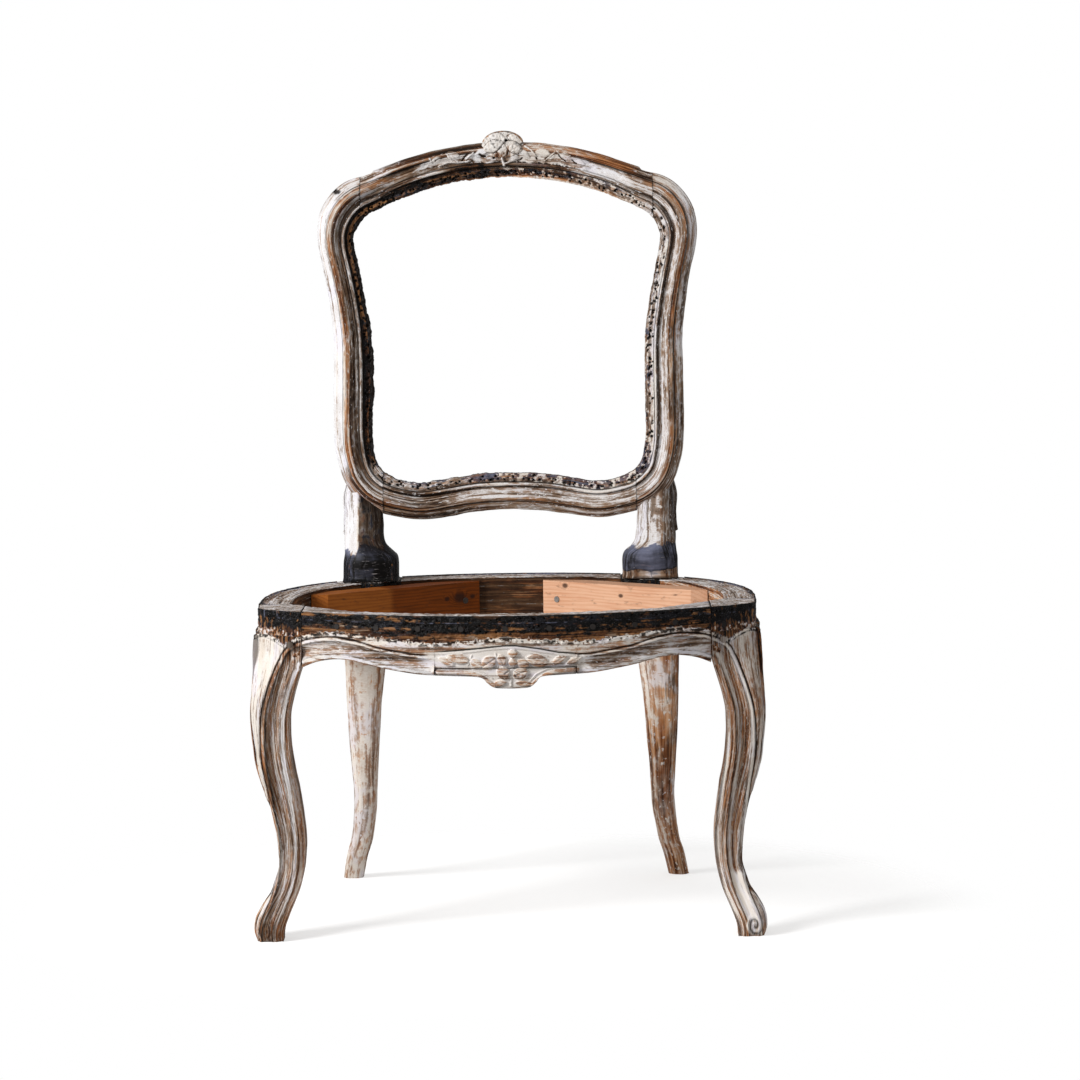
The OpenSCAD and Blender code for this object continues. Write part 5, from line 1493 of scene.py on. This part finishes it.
outer, inner = side_rail_pairs(240)
side_depths = np.array([[-0.130, 0.056], [-0.100, 0.050], [-0.030, 0.048], [0.040, 0.052], [0.11, 0.056]])
side_depth = np.interp(outer[:, 1], *side_depths.T)
for side, label in ((1, "right"), (-1, "left")):
    # The left rail's inner face, turned away from the window, gets painted shade: less paint and more dark
    # than the right one's
    inside = (0.0, 0.25, 0.9, 0.05) if side > 0 else (0.05, 0.02, 0.8, 0.35)
    rail = rail_shell(outer, inner, SEAT_H - side_depth, SEAT_H, 12.0 + side, inside=inside)
    dress("side_seat_rail_" + label, rail, side < 0)
x = np.linspace(REAR_SEAM_X, -REAR_SEAM_X, 200)
outer, inner = (np.column_stack([x, rim_y(x, inset)]) for inset in (0, SIDE_RAIL_T))
# The dark on the rear rail's inner face is dirt and painted shade
rail = rail_shell(outer, inner, 0 * x + SEAT_H - 0.056, SEAT_H, 16.0, inside=(0.05, 0.0, 1.0, 0.42))
dress("rear_seat_rail", rail)

stuffs = {"rear_corner_board_left": AMBER_PINE, "rear_corner_board_right": PALE_PINE,
          "corner_board_nails": GREY_IRON, "upholstery_tacks": RUSTY_IRON}
for name, obj in nodes.items():
    stuff = PEG_OAK if name.endswith("_pegs") else stuffs.get(name)
    if stuff:
        if not obj.data.materials:
            obj.data.materials.append(stuff)
        for i in range(len(obj.data.materials)):
            obj.data.materials[i] = stuff


# Floor, light and camera

def pale_floor():
    """White floor that fades out round the chair, so that only its shadow shows."""
    mat, net = material("Pale floor")
    place = net.node("ShaderNodeTexCoord").outputs["Object"]
    white = net.ramp(net.noise(place, 3.0, 2), [(0.3, "#fafafa"), (0.7, "#fdfdfd")])
    shader = net.node("ShaderNodeBsdfPrincipled", {
        "Base Color": white, "Roughness": 0.95, "Specular IOR Level": 0.0})
    seen = net.node("ShaderNodeLightPath").outputs["Is Camera Ray"]
    glow = net.node("ShaderNodeEmission", {"Strength": net.times(seen, 0.34)})
    lit = net.node("ShaderNodeAddShader", {0: shader.outputs[0], 1: glow.outputs[0]})
    away = net.node("ShaderNodeVectorMath", {0: place}, operation="LENGTH").outputs["Value"]
    clear = net.node("ShaderNodeBsdfTransparent")
    fade = net.node("ShaderNodeMixShader", {
        0: net.step(away, 0.41, 0.56, 0.35, 1.0), 1: lit.outputs[0], 2: clear.outputs[0]})
    net.node("ShaderNodeOutputMaterial", {"Surface": fade.outputs[0]})
    return mat


floor_mesh = bpy.data.meshes.new("floor")
floor_mesh.from_pydata([(-6, -6, 0), (6, -6, 0), (6, 6, 0), (-6, 6, 0)], [], [(0, 1, 2, 3)])
floor_mesh.materials.append(pale_floor())
floor = add_object("floor", floor_mesh)

# The room looks white, but sheds a softer and warmer light
world = bpy.data.worlds.new("Studio")
bpy.context.scene.world = world
world.use_nodes = True
world.node_tree.nodes.clear()
net = Net(world.node_tree)
seen = net.node("ShaderNodeLightPath").outputs["Is Camera Ray"]
fill = net.node("ShaderNodeBackground", {"Color": (1.0, 0.985, 0.965, 1), "Strength": 0.38})
white = net.node("ShaderNodeBackground", {"Color": (1, 1, 1, 1), "Strength": 1.0})
choose = net.node("ShaderNodeMixShader", {0: seen, 1: fill.outputs[0], 2: white.outputs[0]})
net.node("ShaderNodeOutputWorld", {"Surface": choose.outputs[0]})


def lamp(name, place, size, power, colour):
    """Square lamp turned to the middle of the chair."""
    data = bpy.data.lights.new(name, "AREA")
    data.shape = "SQUARE"
    data.size = size
    data.energy = power
    data.color = colour
    obj = add_object(name, data)
    obj.location = place
    obj.rotation_euler = (Vector((0, 0, 0.45)) - Vector(place)).to_track_quat("-Z", "Y").to_euler()


lamp("window", (-2.65, -1.95, 1.85), 1.3, 138, (1.0, 1.0, 1.0))
lamp("room", (2.4, -2.6, 2.2), 2.4, 9, (1.0, 0.98, 0.96))


def turn(degrees, axis):
    return Matrix.Rotation(math.radians(degrees), 4, axis)


camera_data = bpy.data.cameras.new("camera")
camera = add_object("camera", camera_data)
camera_data.sensor_width = 36
camera_data.lens = 129.53
camera_data.clip_end = 100
camera_place = Matrix.Translation((0.07875, -4.31275, 0.816))
camera.matrix_world = camera_place @ turn(0.572, "Z") @ turn(90 - 5.29, "X") @ turn(-0.8, "Z")
bpy.context.scene.camera = camera
bpy.context.scene.view_settings.view_transform = "Standard"
